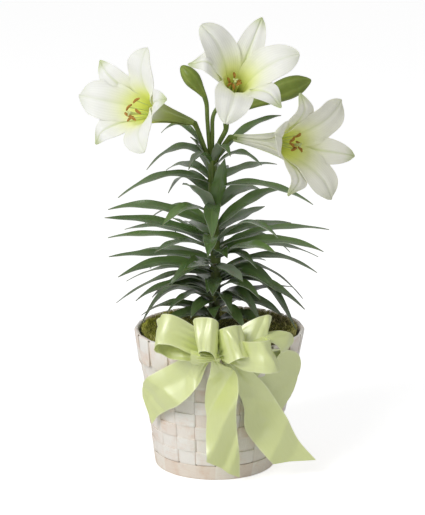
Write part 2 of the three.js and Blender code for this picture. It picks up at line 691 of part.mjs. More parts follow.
function tailsSolid([left, right], strips) {
  const back = KNOT_BACK + 4.7;
  const front = KNOT_BACK + GAP;
  const pinch = new THREE.BoxGeometry(right - left, back - front, 9);
  pinch.translate((left + right) / 2, (front + back) / 2, PINCH_TOP - 4.5);
  return fuse([solidOf(pinch), ...strips.map((pairs) => ribbonStrip(pairs, 9))]);
}

// The wire that holds the bow: from the pinched tails over the rim and down inside the wall
function bowWireSolid() {
  const top = PINCH_TOP + GAP + WIRE_RADIUS;
  const line = new THREE.CatmullRomCurve3([
    new THREE.Vector3(KNOT.x, KNOT_BACK + 1, top), new THREE.Vector3(KNOT.x, KNOT_BACK + 4.7, top),
    new THREE.Vector3(KNOT.x, -83.6, 143.1), new THREE.Vector3(KNOT.x, -80.4, 142),
    new THREE.Vector3(KNOT.x, -79.3, 138.5), new THREE.Vector3(KNOT.x, -77.4, 124),
  ]);
  return rod(line, () => WIRE_RADIUS, 6, 9);
}

// The model
const model = new THREE.Group();

function addPart(name, solid, color, roughness, parent = model) {
  const mesh = solid.getMesh();
  const geometry = new THREE.BufferGeometry();
  geometry.setAttribute("position", new THREE.BufferAttribute(mesh.vertProperties, 3));
  geometry.setIndex(new THREE.BufferAttribute(mesh.triVerts, 1));
  geometry.computeVertexNormals();
  const material = new THREE.MeshStandardMaterial({ color, roughness, metalness: 0, flatShading: true });
  const part = new THREE.Mesh(geometry, material);
  part.name = name;
  parent.add(part);
  return part;
}

const CHIP_WHITE = "#e6ded3";
const CHIP_TAN = "#d9c7b2";
const LEAF_GREEN = "#36522b";
const LILY_WHITE = "#f2f2ea";
const RIBBON_GREEN = "#cfe08a";

// The basket and what it holds lean a little to the right
const basket = new THREE.Group();
basket.matrixAutoUpdate = false;
basket.matrix.set(1, 0, BASKET_LEAN, 0, 0, 1, 0, 0, 0, 0, 1, 0, 0, 0, 0, 1);
model.add(basket);

addPart("base", disc(BASE_RADIUS, 0, BASE_THICKNESS, 40), CHIP_TAN, 0.8, basket);
addPart("band", chipRing(GAP, BAND_HEIGHT, () => CHIP_STEP), CHIP_TAN, 0.8, basket);
for (let row = 0; row < WEAVER_COUNT; row += 1) {
  const foot = WEAVER_FOOT + WEAVER_PITCH * row;
  const offset = (i) => ((i + row) % 2 === 0 ? CHIP_STEP : -CHIP_STEP);
  addPart(`weaver_${row + 1}`, chipRing(foot, foot + WEAVER_HEIGHT, offset), CHIP_WHITE, 0.8, basket);
}
addPart("hoop", chipRing(HOOP_FOOT, BASKET_HEIGHT - CHIP - GAP, () => CHIP_STEP), CHIP_TAN, 0.8, basket);
const stake = stakeSolid();
for (let i = 0; i < STAKE_COUNT; i += 1) {
  addPart(`stake_${i + 1}`, stake, CHIP_WHITE, 0.8, basket).rotation.z = stakeAngle(i);
}

addPart("grow_pot", growPotSolid(), "#4a4742", 0.5, basket);
addPart("soil", soilSolid(), "#3a2c22", 1, basket);
addPart("moss", mossSolid(), "#6f7a35", 1, basket);
addPart("leafy_stem", leafyStemSolid(), LEAF_GREEN, 0.45);

for (const bloom of BLOOMS) {
  const { axis, first, second } = bloomAxes(bloom);
  const place = new THREE.Group();
  place.position.copy(vec(bloom.base));
  place.quaternion.setFromRotationMatrix(new THREE.Matrix4().makeBasis(first, second, axis));
  model.add(place);
  addPart(bloom.name, perianthSolid(bloom), LILY_WHITE, 0.5, place);
  addPart(`${bloom.name}_stamens`, stamensSolid(bloom), "#c9d38a", 0.6, place);
}
for (const bud of BUDS) addPart(bud.name, budSolid(bud), "#6d8440", 0.5);

addPart("bow_loops", bowLoopsSolid(), RIBBON_GREEN, 0.35);
addPart("bow_tails_left", tailsSolid(PINCH_LEFT, [TAIL_LEFT, TAIL_CENTRE]), RIBBON_GREEN, 0.35);
addPart("bow_tails_right", tailsSolid(PINCH_RIGHT, [TAIL_RIGHT, TAIL_FAR]), RIBBON_GREEN, 0.35);
addPart("bow_wire", bowWireSolid(), "#5f7a3c", 0.6);

export default model;
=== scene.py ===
import bpy
import math
from mathutils import Matrix, Vector, noise


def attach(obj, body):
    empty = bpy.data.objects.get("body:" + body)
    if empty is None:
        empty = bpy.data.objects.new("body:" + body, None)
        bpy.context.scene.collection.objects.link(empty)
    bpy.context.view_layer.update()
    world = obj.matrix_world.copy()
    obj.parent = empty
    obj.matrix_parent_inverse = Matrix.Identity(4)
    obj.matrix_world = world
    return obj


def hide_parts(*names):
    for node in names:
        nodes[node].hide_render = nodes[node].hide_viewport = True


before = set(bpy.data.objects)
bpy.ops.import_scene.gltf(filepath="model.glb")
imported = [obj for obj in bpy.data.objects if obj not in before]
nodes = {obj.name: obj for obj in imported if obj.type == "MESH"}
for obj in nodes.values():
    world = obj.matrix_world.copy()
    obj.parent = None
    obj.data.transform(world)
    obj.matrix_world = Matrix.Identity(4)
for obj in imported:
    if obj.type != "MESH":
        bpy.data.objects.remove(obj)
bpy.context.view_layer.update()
mm = 0.001
up = Vector((0, 0, 1))

# Easter lily in a chip-wood basket with a ribbon bow. Shapes are worked out in millimetres,
# in the frame of the solids, and turned into metres when a mesh is made.
print("camera and light")

photoView = {"place": (-0.0025, -1.7, 0.619), "target": (-0.0025, 0, 0.213), "lens": 122.2, "sensor": 36}
studio = {
    "world": 0.46, "lightTarget": (0, 0, 0.25),
    "keyPlace": (-1.4, -1.6, 1.62), "keySize": 1.1, "keyPower": 34,
    "fillPlace": (1.7, -1.2, 1.0), "fillSize": 1.6, "fillPower": 2,
    "floorSize": 24, "floorGlow": 0.57,
}


def aimAt(item, target):
    item.rotation_euler = (Vector(target) - item.location).to_track_quat("-Z", "Y").to_euler()


bpy.ops.object.camera_add(location=photoView["place"])
camera = bpy.context.object
camera.name = "photoCamera"
camera.data.sensor_width = photoView["sensor"]
camera.data.lens = photoView["lens"]
aimAt(camera, photoView["target"])
bpy.context.scene.camera = camera
bpy.context.scene.view_settings.view_transform = "Standard"


def softLight(name, place, size, power):
    bpy.ops.object.light_add(type="AREA", location=place)
    light = bpy.context.object
    light.name = name
    light.data.size = size
    light.data.energy = power
    aimAt(light, studio["lightTarget"])


softLight("keyLight", studio["keyPlace"], studio["keySize"], studio["keyPower"])
softLight("fillLight", studio["fillPlace"], studio["fillSize"], studio["fillPower"])
world = bpy.data.worlds.new("studioWorld")
world.use_nodes = True
sky = world.node_tree.nodes["Background"].inputs
sky["Color"].default_value = (1, 1, 1, 1)
sky["Strength"].default_value = studio["world"]
bpy.context.scene.world = world


# Helpers for shapes
def wobble(i, k):  # a repeatable draw between 0 and 1 for copy i, trait k
    value = math.sin(i * 12.9898 + k * 78.233) * 43758.5453
    return value - math.floor(value)


def lerp(a, b, t):
    return a + (b - a) * t


def clamp(x, low=0, high=1):
    return max(low, min(high, x))


def smoothstep(x, low, high):
    x = clamp((x - low) / (high - low))
    return x * x * (3 - 2 * x)


def hill(x, width):  # 1 in the middle, falling off softly on both sides
    return math.exp(-(x / width) ** 2)


def follow(rows, t, column=1):  # a smooth curve through rows of t and values, read at t
    last = len(rows) - 1
    i = 0
    while i < last - 1 and t > rows[i + 1][0]:
        i += 1

    def slope(k):
        a, b = rows[max(k - 1, 0)], rows[min(k + 1, last)]
        return (b[column] - a[column]) / (b[0] - a[0])

    span = rows[i + 1][0] - rows[i][0]
    x = clamp((t - rows[i][0]) / span)
    rise = x * x * (3 - 2 * x)
    bends = slope(i) * span * x * (1 - x) ** 2 - slope(i + 1) * span * x * x * (1 - x)
    return rows[i][column] * (1 - rise) + rows[i + 1][column] * rise + bends


def curveAt(points, t):  # a centripetal spline through points, 0 at the first and 1 at the last
    last = len(points) - 1
    i = min(int(clamp(t) * last), last - 1)
    x = clamp(t) * last - i
    p1, p2 = points[i], points[i + 1]
    p0 = points[i - 1] if i > 0 else 2 * p1 - p2
    p3 = points[i + 2] if i + 2 <= last else 2 * p2 - p1
    d0, d1, d2 = (max((b - a).length, 1e-6) ** 0.5 for a, b in ((p0, p1), (p1, p2), (p2, p3)))
    start = ((p1 - p0) / d0 - (p2 - p0) / (d0 + d1) + (p2 - p1) / d1) * d1
    end = ((p2 - p1) / d1 - (p3 - p1) / (d1 + d2) + (p3 - p2) / d2) * d1
    return (p1 + start * x + (3 * (p2 - p1) - 2 * start - end) * x ** 2
            + (2 * (p1 - p2) + start + end) * x ** 3)


def bowed(start, control, end, t):  # a quadratic curve
    return start * (1 - t) ** 2 + control * (2 * t * (1 - t)) + end * t * t


def points(*rows):
    return [Vector(row) for row in rows]


def level(angle):  # a level direction
    return Vector((math.cos(angle), math.sin(angle), 0))


def ripple(x, y, z=0.0):  # smooth noise between -1 and 1
    return noise.noise(Vector((x, y, z)))


# Helpers for meshes
def deselectAll():
    bpy.ops.object.select_all(action="DESELECT")


def gridPiece(name, across, along, place):  # a grid, each point carried to place(u, v)
    deselectAll()
    bpy.ops.mesh.primitive_grid_add(x_subdivisions=across, y_subdivisions=along, size=2)
    piece = bpy.context.object
    piece.name = name
    piece.data.name = name
    for vertex in piece.data.vertices:
        vertex.co = place((vertex.co.x + 1) / 2, (vertex.co.y + 1) / 2) * mm
    return piece


def makeActive(piece):
    deselectAll()
    piece.select_set(True)
    bpy.context.view_layer.objects.active = piece


def closeUp(piece, fill=True):  # merges the seams, and with fill closes the ends and turns faces outwards
    makeActive(piece)
    bpy.ops.object.mode_set(mode="EDIT")
    bpy.ops.mesh.select_all(action="SELECT")
    bpy.ops.mesh.remove_doubles(threshold=0.00002)
    if fill:
        bpy.ops.mesh.fill_holes(sides=0)
        bpy.ops.mesh.select_all(action="SELECT")
        bpy.ops.mesh.normals_make_consistent(inside=False)
    bpy.ops.object.mode_set(mode="OBJECT")
    return piece


def applied(piece, kind, **values):
    makeActive(piece)
    modifier = piece.modifiers.new(kind.lower(), kind)
    for key, value in values.items():
        setattr(modifier, key, value)
    bpy.ops.object.modifier_apply(modifier=modifier.name)
    return piece


def thicken(piece, thickness, back=0):  # back is the place in the list of the other side's material
    return applied(piece, "SOLIDIFY", thickness=thickness * mm, offset=0, material_offset=back,
                   use_quality_normals=True)


def joined(name, pieces):
    makeActive(pieces[0])
    for piece in pieces[1:]:
        piece.select_set(True)
    bpy.ops.object.join()
    pieces[0].name = name
    pieces[0].data.name = name
    return pieces[0]


def scaleUv(piece, width, length, shift=0):  # the map in millimetres across and along
    for loop in piece.data.uv_layers.active.data:
        loop.uv = (loop.uv[0] * width + shift, loop.uv[1] * length)
    return piece


def markEach(piece, name, valueAt):  # a number at each point, for the material to read
    attribute = piece.data.attributes.new(name, "FLOAT", "POINT")
    attribute.data.foreach_set("value", [valueAt(vertex.co / mm) for vertex in piece.data.vertices])


def mark(piece, name, value):
    markEach(piece, name, lambda co: value)


def painted(piece, *materials):
    piece.data.materials.clear()
    for material in materials:
        piece.data.materials.append(material)
    return piece


def settled(piece, slot, *cadNodes, material=None, angle=50):
    # a finished piece rides on the plant's one body, in place of its solids
    if material:
        painted(piece, material)
    makeActive(piece)
    bpy.ops.object.shade_smooth_by_angle(angle=math.radians(angle))
    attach(piece, "root")
    if cadNodes:
        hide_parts(*cadNodes)
    return piece


def tubePiece(name, around, along, centreAt, radiusAt):
    # centreAt(v) gives the middle line, radiusAt(v, angle) the distance of the skin from it
    step = 1 / along
    first = Vector((0.31, 0.87, 0.38))  # no tube here runs this way
    frames = []
    for k in range(along + 1):
        v = k * step
        line = (centreAt(min(v + step / 2, 1)) - centreAt(max(v - step / 2, 0))).normalized()
        if k == 0:
            first = line.cross(first).normalized()
        first = (first - line * first.dot(line)).normalized()
        frames.append((centreAt(v), first.copy(), line.cross(first)))

    def place(u, v):
        centre, side, other = frames[round(v * along)]
        angle = u * 2 * math.pi
        radius = radiusAt(v, angle)
        return centre + side * (math.cos(angle) * radius) + other * (math.sin(angle) * radius)

    return closeUp(gridPiece(name, around, along, place))


# Helpers for materials
def feed(tree, socket, value):  # a link, a plain value or a colour
    if isinstance(value, bpy.types.NodeSocket):
        tree.links.new(value, socket)
    else:
        socket.default_value = (*value, 1) if socket.type == "RGBA" else value


def fed(tree, node, **sockets):
    for name, value in sockets.items():
        feed(tree, node.inputs[name.replace("_", " ")], value)
    return node


def newMaterial(name, **constants):  # a material, its node tree and its shader with plain values set
    material = bpy.data.materials.new(name)
    material.use_nodes = True
    tree = material.node_tree
    return material, tree, fed(tree, tree.nodes["Principled BSDF"], **constants)


def added(tree, kind, **sockets):
    return fed(tree, tree.nodes.new("ShaderNode" + kind), **sockets)


def maths(tree, operation, a, b=0.0, clamped=False):
    node = tree.nodes.new("ShaderNodeMath")
    node.operation = operation
    node.use_clamp = clamped
    feed(tree, node.inputs[0], a)
    feed(tree, node.inputs[1], b)
    return node.outputs[0]


def times(tree, a, b, clamped=False):
    return maths(tree, "MULTIPLY", a, b, clamped)


def plus(tree, a, b):
    return maths(tree, "ADD", a, b)


def weighed(tree, a, weightA, b, weightB):
    return plus(tree, times(tree, a, weightA), times(tree, b, weightB))


def fromMiddle(tree, across, middle=0.5):
    return maths(tree, "ABSOLUTE", maths(tree, "SUBTRACT", across, middle))


def ranged(tree, value, low, high, start=0.0, end=1.0):  # goes softly from start to end
    node = added(tree, "MapRange", Value=value, From_Min=low, From_Max=high, To_Min=start, To_Max=end)
    node.interpolation_type = "SMOOTHSTEP"
    return node.outputs["Result"]


def mixed(tree, share, a, b):
    node = tree.nodes.new("ShaderNodeMix")
    node.data_type = "RGBA"
    for index, value in ((0, share), (6, a), (7, b)):
        feed(tree, node.inputs[index], value)
    return node.outputs[2]


def layered(tree, colour, *layers):  # each layer, a share and a colour, goes over the last
    for share, top in layers:
        colour = mixed(tree, share, colour, top)
    return colour


def uvParts(tree):
    split = added(tree, "SeparateXYZ", Vector=added(tree, "UVMap").outputs["UV"])
    return split.outputs["X"], split.outputs["Y"]


def objectPlace(tree):
    return added(tree, "TexCoord").outputs["Object"]


def objectPart(tree, axis):
    return added(tree, "SeparateXYZ", Vector=objectPlace(tree)).outputs[axis]


def attributeOf(tree, name):
    node = tree.nodes.new("ShaderNodeAttribute")
    node.attribute_name = name
    return node.outputs["Fac"]


def bumped(tree, shader, height, strength, distance):
    node = added(tree, "Bump", Height=height, Strength=strength, Distance=distance * mm)
    tree.links.new(node.outputs["Normal"], shader.inputs["Normal"])


def newGroup(name, inputs, outputs):  # a shared effect with named inputs and outputs
    tree = bpy.data.node_groups.new(name, "ShaderNodeTree")
    for socket, (kind, value) in inputs.items():
        made = tree.interface.new_socket(socket, in_out="INPUT", socket_type="NodeSocket" + kind)
        if value is not None:
            made.default_value = value
    for socket in outputs:
        tree.interface.new_socket(socket, in_out="OUTPUT", socket_type="NodeSocketFloat")
    return tree, tree.nodes.new("NodeGroupInput").outputs, tree.nodes.new("NodeGroupOutput").inputs


def placed(tree, group, **sockets):
    node = tree.nodes.new("ShaderNodeGroup")
    node.node_tree = group
    return fed(tree, node, **sockets)


print("shared effects")


def makeBlotches():  # soft patches that vary over a surface
    tree, given, out = newGroup("blotches", {
        "Vector": ("Vector", None), "Scale": ("Float", 80.0), "Detail": ("Float", 4.0),
        "Low": ("Float", 0.4), "High": ("Float", 0.65),
    }, ["Mask"])
    cloud = added(tree, "TexNoise", Vector=given["Vector"], Scale=given["Scale"], Detail=given["Detail"],
                  Roughness=0.6)
    shaped = added(tree, "MapRange", Value=cloud.outputs["Fac"], From_Min=given["Low"],
                   From_Max=given["High"])
    tree.links.new(shaped.outputs["Result"], out["Mask"])
    return tree


def makeFibres():  # long fibres along a map in millimetres, as a mask and a height
    tree, given, out = newGroup("fibres", {
        "Vector": ("Vector", None), "Fineness": ("Float", 1.0), "Length": ("Float", 0.06),
    }, ["Mask", "Height"])
    parts = added(tree, "SeparateXYZ", Vector=given["Vector"]).outputs
    lined = added(tree, "CombineXYZ", X=parts["X"], Y=times(tree, parts["Y"], given["Length"]), Z=parts["Z"])
    coarse = added(tree, "TexNoise", Vector=lined.outputs["Vector"], Scale=given["Fineness"], Detail=5.0,
                   Roughness=0.62, Distortion=0.3)
    tree.links.new(ranged(tree, coarse.outputs["Fac"], 0.36, 0.66), out["Mask"])
    tree.links.new(coarse.outputs["Fac"], out["Height"])
    return tree


def makeLines():  # parallel lines across a blade, from one edge at 0 to the other at 1
    tree, given, out = newGroup("bladeLines", {
        "Across": ("Float", 0.5), "Count": ("Float", 9.0), "Sharpness": ("Float", 3.0),
    }, ["Line"])
    wave = maths(tree, "PINGPONG", times(tree, given["Across"], given["Count"]), 0.5)
    tree.links.new(maths(tree, "POWER", times(tree, wave, 2.0), given["Sharpness"]), out["Line"])
    return tree


blotches, fibres, bladeLines = makeBlotches(), makeFibres(), makeLines()


def patches(tree, scale, detail, low=0.3, high=0.7):
    node = placed(tree, blotches, Vector=objectPlace(tree), Scale=scale, Detail=detail, Low=low, High=high)
    return node.outputs["Mask"]


def grained(tree, fineness, length):
    return placed(tree, fibres, Vector=added(tree, "UVMap").outputs["UV"], Fineness=fineness, Length=length)


def linesAcross(tree, across, count, sharpness=2.0):
    return placed(tree, bladeLines, Across=across, Count=count, Sharpness=sharpness).outputs["Line"]


print("materials")


def makeChipWood(name, wash, wood, bareShare):  # thin chip wood under a white wash
    material, tree, shader = newMaterial(name, Roughness=0.72, Specular_IOR_Level=0.3)
    streakTone = (0.5, 0.42, 0.34)
    grain = grained(tree, 0.85, 0.05)
    fine = grained(tree, 3.4, 0.03)
    worn = times(tree, patches(tree, 70.0, 4.0, 0.48, 0.68),
                 ranged(tree, grain.outputs["Mask"], 0.0, 1.0, 0.45, 1.0))
    bare = times(tree, weighed(tree, worn, 0.9, attributeOf(tree, "tone"), 0.7), bareShare, clamped=True)
    streak = times(tree, fine.outputs["Mask"], 0.12)
    fed(tree, shader, Base_Color=layered(tree, wash, (bare, wood), (streak, streakTone)))
    height = plus(tree, grain.outputs["Height"], times(tree, fine.outputs["Height"], 0.5))
    bumped(tree, shader, height, 0.35, 0.5)
    return material


def makeLeafGreen(name, deep, light, rough, coat):  # long parallel veins, lighter along the midrib
    material, tree, shader = newMaterial(
        name, Roughness=rough, Specular_IOR_Level=0.8, Coat_Weight=coat, Coat_Roughness=0.26,
        Subsurface_Weight=0.08, Subsurface_Scale=0.002)
    # The second tone is painted shade for the leaves low down
    tipTone, lowShadeTone = (0.1, 0.13, 0.035), (0.03, 0.045, 0.018)
    across, along = uvParts(tree)
    lines = linesAcross(tree, across, 11.0)
    share = weighed(tree, patches(tree, 36.0, 3.0, 0.3, 0.75), 0.45, attributeOf(tree, "tone"), 0.55)
    rib = ranged(tree, fromMiddle(tree, across), 0.0, 0.07, 0.4, 0.0)
    tip = ranged(tree, along, 0.9, 1.0, 0.0, 0.5)
    lowShade = ranged(tree, objectPart(tree, "Z"), 0.15, 0.25, 0.55, 0.0)  # painted shade: leaves low down, under the others, are darkened
    body = layered(tree, deep, (share, light), (rib, light), (times(tree, lines, 0.22), light))
    fed(tree, shader, Base_Color=layered(tree, body, (tip, tipTone), (lowShade, lowShadeTone)))
    bumped(tree, shader, lines, 0.35, 0.25)
    return material


# The cream tone is painted shade: a darker, yellower white for blooms out of the light
tepalTones = {
    "white": (0.88, 0.885, 0.82), "shadeCream": (0.84, 0.83, 0.7),
    "foot": (0.36, 0.46, 0.1), "lowTube": (0.18, 0.25, 0.03), "tube": (0.38, 0.45, 0.07),
    # The depth tone is the throat's own green, darkened as painted shade deep in the tube
    "mouth": (0.82, 0.87, 0.42), "throat": (0.62, 0.68, 0.15), "depth": (0.3, 0.33, 0.04),
    "rib": (0.5, 0.6, 0.22), "tip": (0.42, 0.52, 0.16), "veins": (0.55, 0.6, 0.45),
}
tepalGlow = {  # painted glow for the light that comes through a tepal, with two tones for a shaded and a lit throat
    "blade": (0.02, 0.02, 0.015), "none": (0.0, 0.0, 0.0),
    "mouth": ((0.06, 0.065, 0.02), (0.16, 0.17, 0.055)),
    "throat": ((0.07, 0.075, 0.015), (0.24, 0.25, 0.045)),
}


def makeTepal(name, outside):  # waxy white, yellow-green in the throat, fine long veins
    material, tree, shader = newMaterial(
        name, Roughness=0.5, Specular_IOR_Level=0.3, Sheen_Weight=0.1, Emission_Strength=1.0,
        Subsurface_Weight=0.3, Subsurface_Scale=0.004, Subsurface_Radius=(1.0, 1.0, 0.75))
    across, along = uvParts(tree)
    offMiddle = fromMiddle(tree, across)
    outer = attributeOf(tree, "outer")
    # Painted shade: blooms out of the light turn from white towards a darker cream
    white = mixed(tree, attributeOf(tree, "shadeCream"), tepalTones["white"], tepalTones["shadeCream"])
    if outside:
        flush = times(tree, ranged(tree, along, 0.32, 0.8, 1.0, 0.08), attributeOf(tree, "tube"))
        tube = mixed(tree, ranged(tree, along, 0.04, 0.4), tepalTones["lowTube"], tepalTones["tube"])
        foot = ranged(tree, along, 0.02, 0.16, 0.8, 0.0)  # every bloom is green where it leaves its stalk
        body = layered(tree, white, (flush, tube), (foot, tepalTones["foot"]))
        glow = mixed(tree, flush, tepalGlow["blade"], tepalGlow["none"])
    else:
        flush = times(tree, ranged(tree, along, 0.5, 0.8, 1.0, 0.0),
                      ranged(tree, offMiddle, 0.1, 0.5, 1.0, 0.8))
        deep = ranged(tree, along, 0.42, 0.68, 1.0, 0.0)
        # The deepest part of the throat: its own green, darkened further by painted shade, and without glow
        shadedDepth = ranged(tree, along, 0.3, 0.5, 1.0, 0.0)
        body = layered(tree, white, (flush, tepalTones["mouth"]), (deep, tepalTones["throat"]),
                       (shadedDepth, tepalTones["depth"]))
        lit = attributeOf(tree, "throatLight")
        mouthGlow, throatGlow = (mixed(tree, lit, *tepalGlow[part]) for part in ("mouth", "throat"))
        glow = layered(tree, tepalGlow["blade"], (flush, mouthGlow), (deep, throatGlow),
                       (shadedDepth, tepalGlow["none"]))
    # The three outer tepals have the greener rib and tip
    rib = times(tree, ranged(tree, offMiddle, 0.0, 0.1 if outside else 0.085, 1.0, 0.0),
                ranged(tree, along, 0.5, 1.0, 0.6, 0.22))
    rib = times(tree, rib, plus(tree, times(tree, outer, 0.5), 0.5))
    tip = times(tree, ranged(tree, along, 0.86, 1.0), plus(tree, times(tree, outer, 0.55), 0.2))
    lines = linesAcross(tree, across, 15.0, 2.5)
    veins = weighed(tree, lines, 0.1, patches(tree, 60.0, 4.0), 0.06)
    body = layered(tree, body, (rib, tepalTones["rib"]), (tip, tepalTones["tip"]),
                   (veins, tepalTones["veins"]))
    # The emission is painted glow, standing in for light that comes through the tepal
    fed(tree, shader, Base_Color=body, Emission_Color=glow)
    bumped(tree, shader, lines, 0.3, 0.3)
    return material


def makePlainGreen(name, deep, light, rough, count):  # skins of stem, stalks, buds and filaments
    material, tree, shader = newMaterial(
        name, Roughness=rough, Specular_IOR_Level=0.4, Subsurface_Weight=0.1, Subsurface_Scale=0.002)
    footTone = (0.045, 0.04, 0.022)
    lines = linesAcross(tree, uvParts(tree)[0], count)
    share = weighed(tree, patches(tree, 70.0, 5.0), 0.5, lines, 0.5)
    low = ranged(tree, objectPart(tree, "Z"), 0.14, 0.3, 0.7, 0.0)
    fed(tree, shader, Base_Color=layered(tree, deep, (share, light), (low, footTone)))
    bumped(tree, shader, lines, 0.3, 0.3)
    return material


satin = {
    "pale": (0.7, 0.775, 0.3), "full": (0.61, 0.685, 0.19), "edge": (0.8, 0.84, 0.52),
    "width": 32, "edgeFrom": 14.7, "edgeTo": 15.4, "weft": 9.0, "warp": 14.0,
}


def makeSatin():  # pale lime satin ribbon: fine weave across, soft sheen, woven edges
    material, tree, shader = newMaterial(
        "ribbonSatin", Roughness=0.46, Specular_IOR_Level=1.0, IOR=2.0, Anisotropic=0.4,
        Sheen_Weight=0.1, Sheen_Roughness=0.35, Sheen_Tint=(1.0, 1.0, 0.9),
        Coat_Weight=0.45, Coat_Roughness=0.3,
        Subsurface_Weight=0.25, Subsurface_Scale=0.0015, Subsurface_Radius=(1.0, 1.0, 0.4))
    across, along = uvParts(tree)
    thread = maths(tree, "SINE", times(tree, along, satin["weft"]))
    warp = maths(tree, "SINE", times(tree, across, satin["warp"]))
    share = weighed(tree, grained(tree, 1.6, 0.04).outputs["Mask"], 0.25, patches(tree, 30.0, 2.0), 0.35)
    offMiddle = fromMiddle(tree, across, satin["width"] / 2)
    edge = ranged(tree, offMiddle, satin["edgeFrom"], satin["edgeTo"], 0.0, 0.45)
    fed(tree, shader, Base_Color=layered(tree, satin["pale"], (share, satin["full"]), (edge, satin["edge"])))
    bumped(tree, shader, plus(tree, thread, times(tree, warp, 0.6)), 0.06, 0.06)
    return material


def makeCrumbs(name, deep, light, scale):  # moss bed and potting mix
    material, tree, shader = newMaterial(name, Roughness=1.0, Specular_IOR_Level=0.2)
    fine = patches(tree, scale, 8.0)
    share = weighed(tree, fine, 0.5, patches(tree, scale / 8, 2.0, 0.35, 0.65), 0.5)
    fed(tree, shader, Base_Color=mixed(tree, share, deep, light))
    bumped(tree, shader, fine, 0.8, 2.0)
    return material


def makeStrands():  # moss strands, olive to straw from clump to clump, and darker on the right, partly dry straw and partly painted shade
    material, tree, shader = newMaterial("mossStrands", Roughness=0.85, Specular_IOR_Level=0.2)
    clumps = patches(tree, 55.0, 3.0, 0.35, 0.65)
    tone = attributeOf(tree, "tone")
    green = mixed(tree, tone, (0.2, 0.23, 0.015), (0.66, 0.67, 0.1))
    # Painted shade at the dark end of this mix, which most strands take; dry straw at the light end
    strawAndShade = mixed(tree, maths(tree, "POWER", tone, 3.0), (0.045, 0.032, 0.01), (0.72, 0.64, 0.38))
    # Painted shade: more strands take the dark mix on the right, away from the light
    side = ranged(tree, objectPart(tree, "X"), -0.06, 0.02, 0.1, 0.75)
    share = times(tree, weighed(tree, clumps, 0.5, side, 0.6), 1.0, clamped=True)
    fed(tree, shader, Base_Color=mixed(tree, share, green, strawAndShade))
    bumped(tree, shader, clumps, 0.3, 0.3)
    return material


def makePlainSkin(name, deep, light, rough, scale, lump):  # pollen, plastic, wire, stigma
    material, tree, shader = newMaterial(name, Roughness=rough)
    mask = patches(tree, scale, 6.0)
    fed(tree, shader, Base_Color=mixed(tree, mask, deep, light))
    bumped(tree, shader, mask, 0.5, lump)
    return material


chipWhite = makeChipWood("chipWhite", (0.89, 0.87, 0.82), (0.77, 0.57, 0.44), 0.5)
chipTan = makeChipWood("chipTan", (0.88, 0.83, 0.75), (0.73, 0.55, 0.42), 0.6)
leafTop = makeLeafGreen("leafTop", (0.045, 0.095, 0.018), (0.15, 0.26, 0.055), 0.27, 0.75)
leafUnder = makeLeafGreen("leafUnder", (0.19, 0.245, 0.15), (0.36, 0.42, 0.3), 0.4, 0.5)
stemGreen = makePlainGreen("stemGreen", (0.1, 0.16, 0.025), (0.23, 0.3, 0.065), 0.45, 8.0)
budGreen = makePlainGreen("budGreen", (0.155, 0.215, 0.022), (0.32, 0.4, 0.085), 0.42, 6.0)
tepalInside = makeTepal("tepalInside", False)
tepalOutside = makeTepal("tepalOutside", True)
filamentGreen = makePlainGreen("filamentGreen", (0.6, 0.68, 0.28), (0.75, 0.8, 0.45), 0.5, 4.0)
pollenRust = makePlainSkin("pollenRust", (0.24, 0.1, 0.015), (0.58, 0.3, 0.06), 0.9, 700.0, 0.3)
stigmaGreen = makePlainSkin("stigmaGreen", (0.5, 0.57, 0.2), (0.66, 0.7, 0.32), 0.35, 400.0, 0.2)
ribbonSatin = makeSatin()
mossBed = makeCrumbs("mossBed", (0.03, 0.028, 0.01), (0.16, 0.16, 0.04), 420.0)
mossStrands = makeStrands()
pottingMix = makeCrumbs("pottingMix", (0.012, 0.008, 0.005), (0.07, 0.045, 0.028), 500.0)
potPlastic = makePlainSkin("potPlastic", (0.02, 0.02, 0.018), (0.034, 0.033, 0.03), 0.42, 120.0, 0.05)
wireGreen = makePlainSkin("wireGreen", (0.1, 0.18, 0.04), (0.13, 0.22, 0.055), 0.4, 300.0, 0.05)


def makeFloorPaint():  # matt white, glowing a little where the camera sees it
    material, tree, shader = newMaterial(
        "floorPaint", Roughness=0.9, Base_Color=(0.86, 0.86, 0.86), Emission_Color=(1, 1, 1))
    seen = tree.nodes.new("ShaderNodeLightPath").outputs["Is Camera Ray"]
    fed(tree, shader, Emission_Strength=times(tree, seen, studio["floorGlow"]))
    return material


print("floor")

deselectAll()
bpy.ops.mesh.primitive_plane_add(size=studio["floorSize"])
floor = bpy.context.object
floor.name = "studioFloor"
painted(floor, makeFloorPaint())

print("basket")

# A flap is the end of a stake, folded over the hoop and turned down outside
basket = {
    "height": 141, "footRadius": 58.5, "rimRadius": 81.8, "lean": 0.032,
    "chip": 1.2, "gap": 0.3, "bevel": 0.22, "rounding": 0.55, "edgeWander": 0.25,
    "stakes": 20, "sideGap": 0.7, "stakeBulge": 0.3, "flapGap": 0.9, "flapFoot": 111, "flapFlare": 0.9,
    "weavers": 7, "weaverFoot": 16, "weaverPitch": 13.75, "weaverHeight": 13.5, "weaveDepth": 0.9,
    "weaverBulge": 0.5, "bandHeight": 15, "hoopFoot": 113,
    "baseRadius": 57.4, "slats": 9, "slatGap": 0.25, "slatThickness": 1.35, "layerGap": 0.15,
}
chipStep = basket["chip"] + basket["gap"]
halfPitch = math.tan(math.pi / basket["stakes"])


def wallRadius(z):
    return lerp(basket["footRadius"], basket["rimRadius"], z / basket["height"])


def stakeHalfWidth(z):
    return halfPitch * (wallRadius(z) - basket["chip"] / 2) - basket["sideGap"]


def flapHalfWidth(z):
    return halfPitch * (wallRadius(z) + 2 * chipStep) - basket["flapGap"]


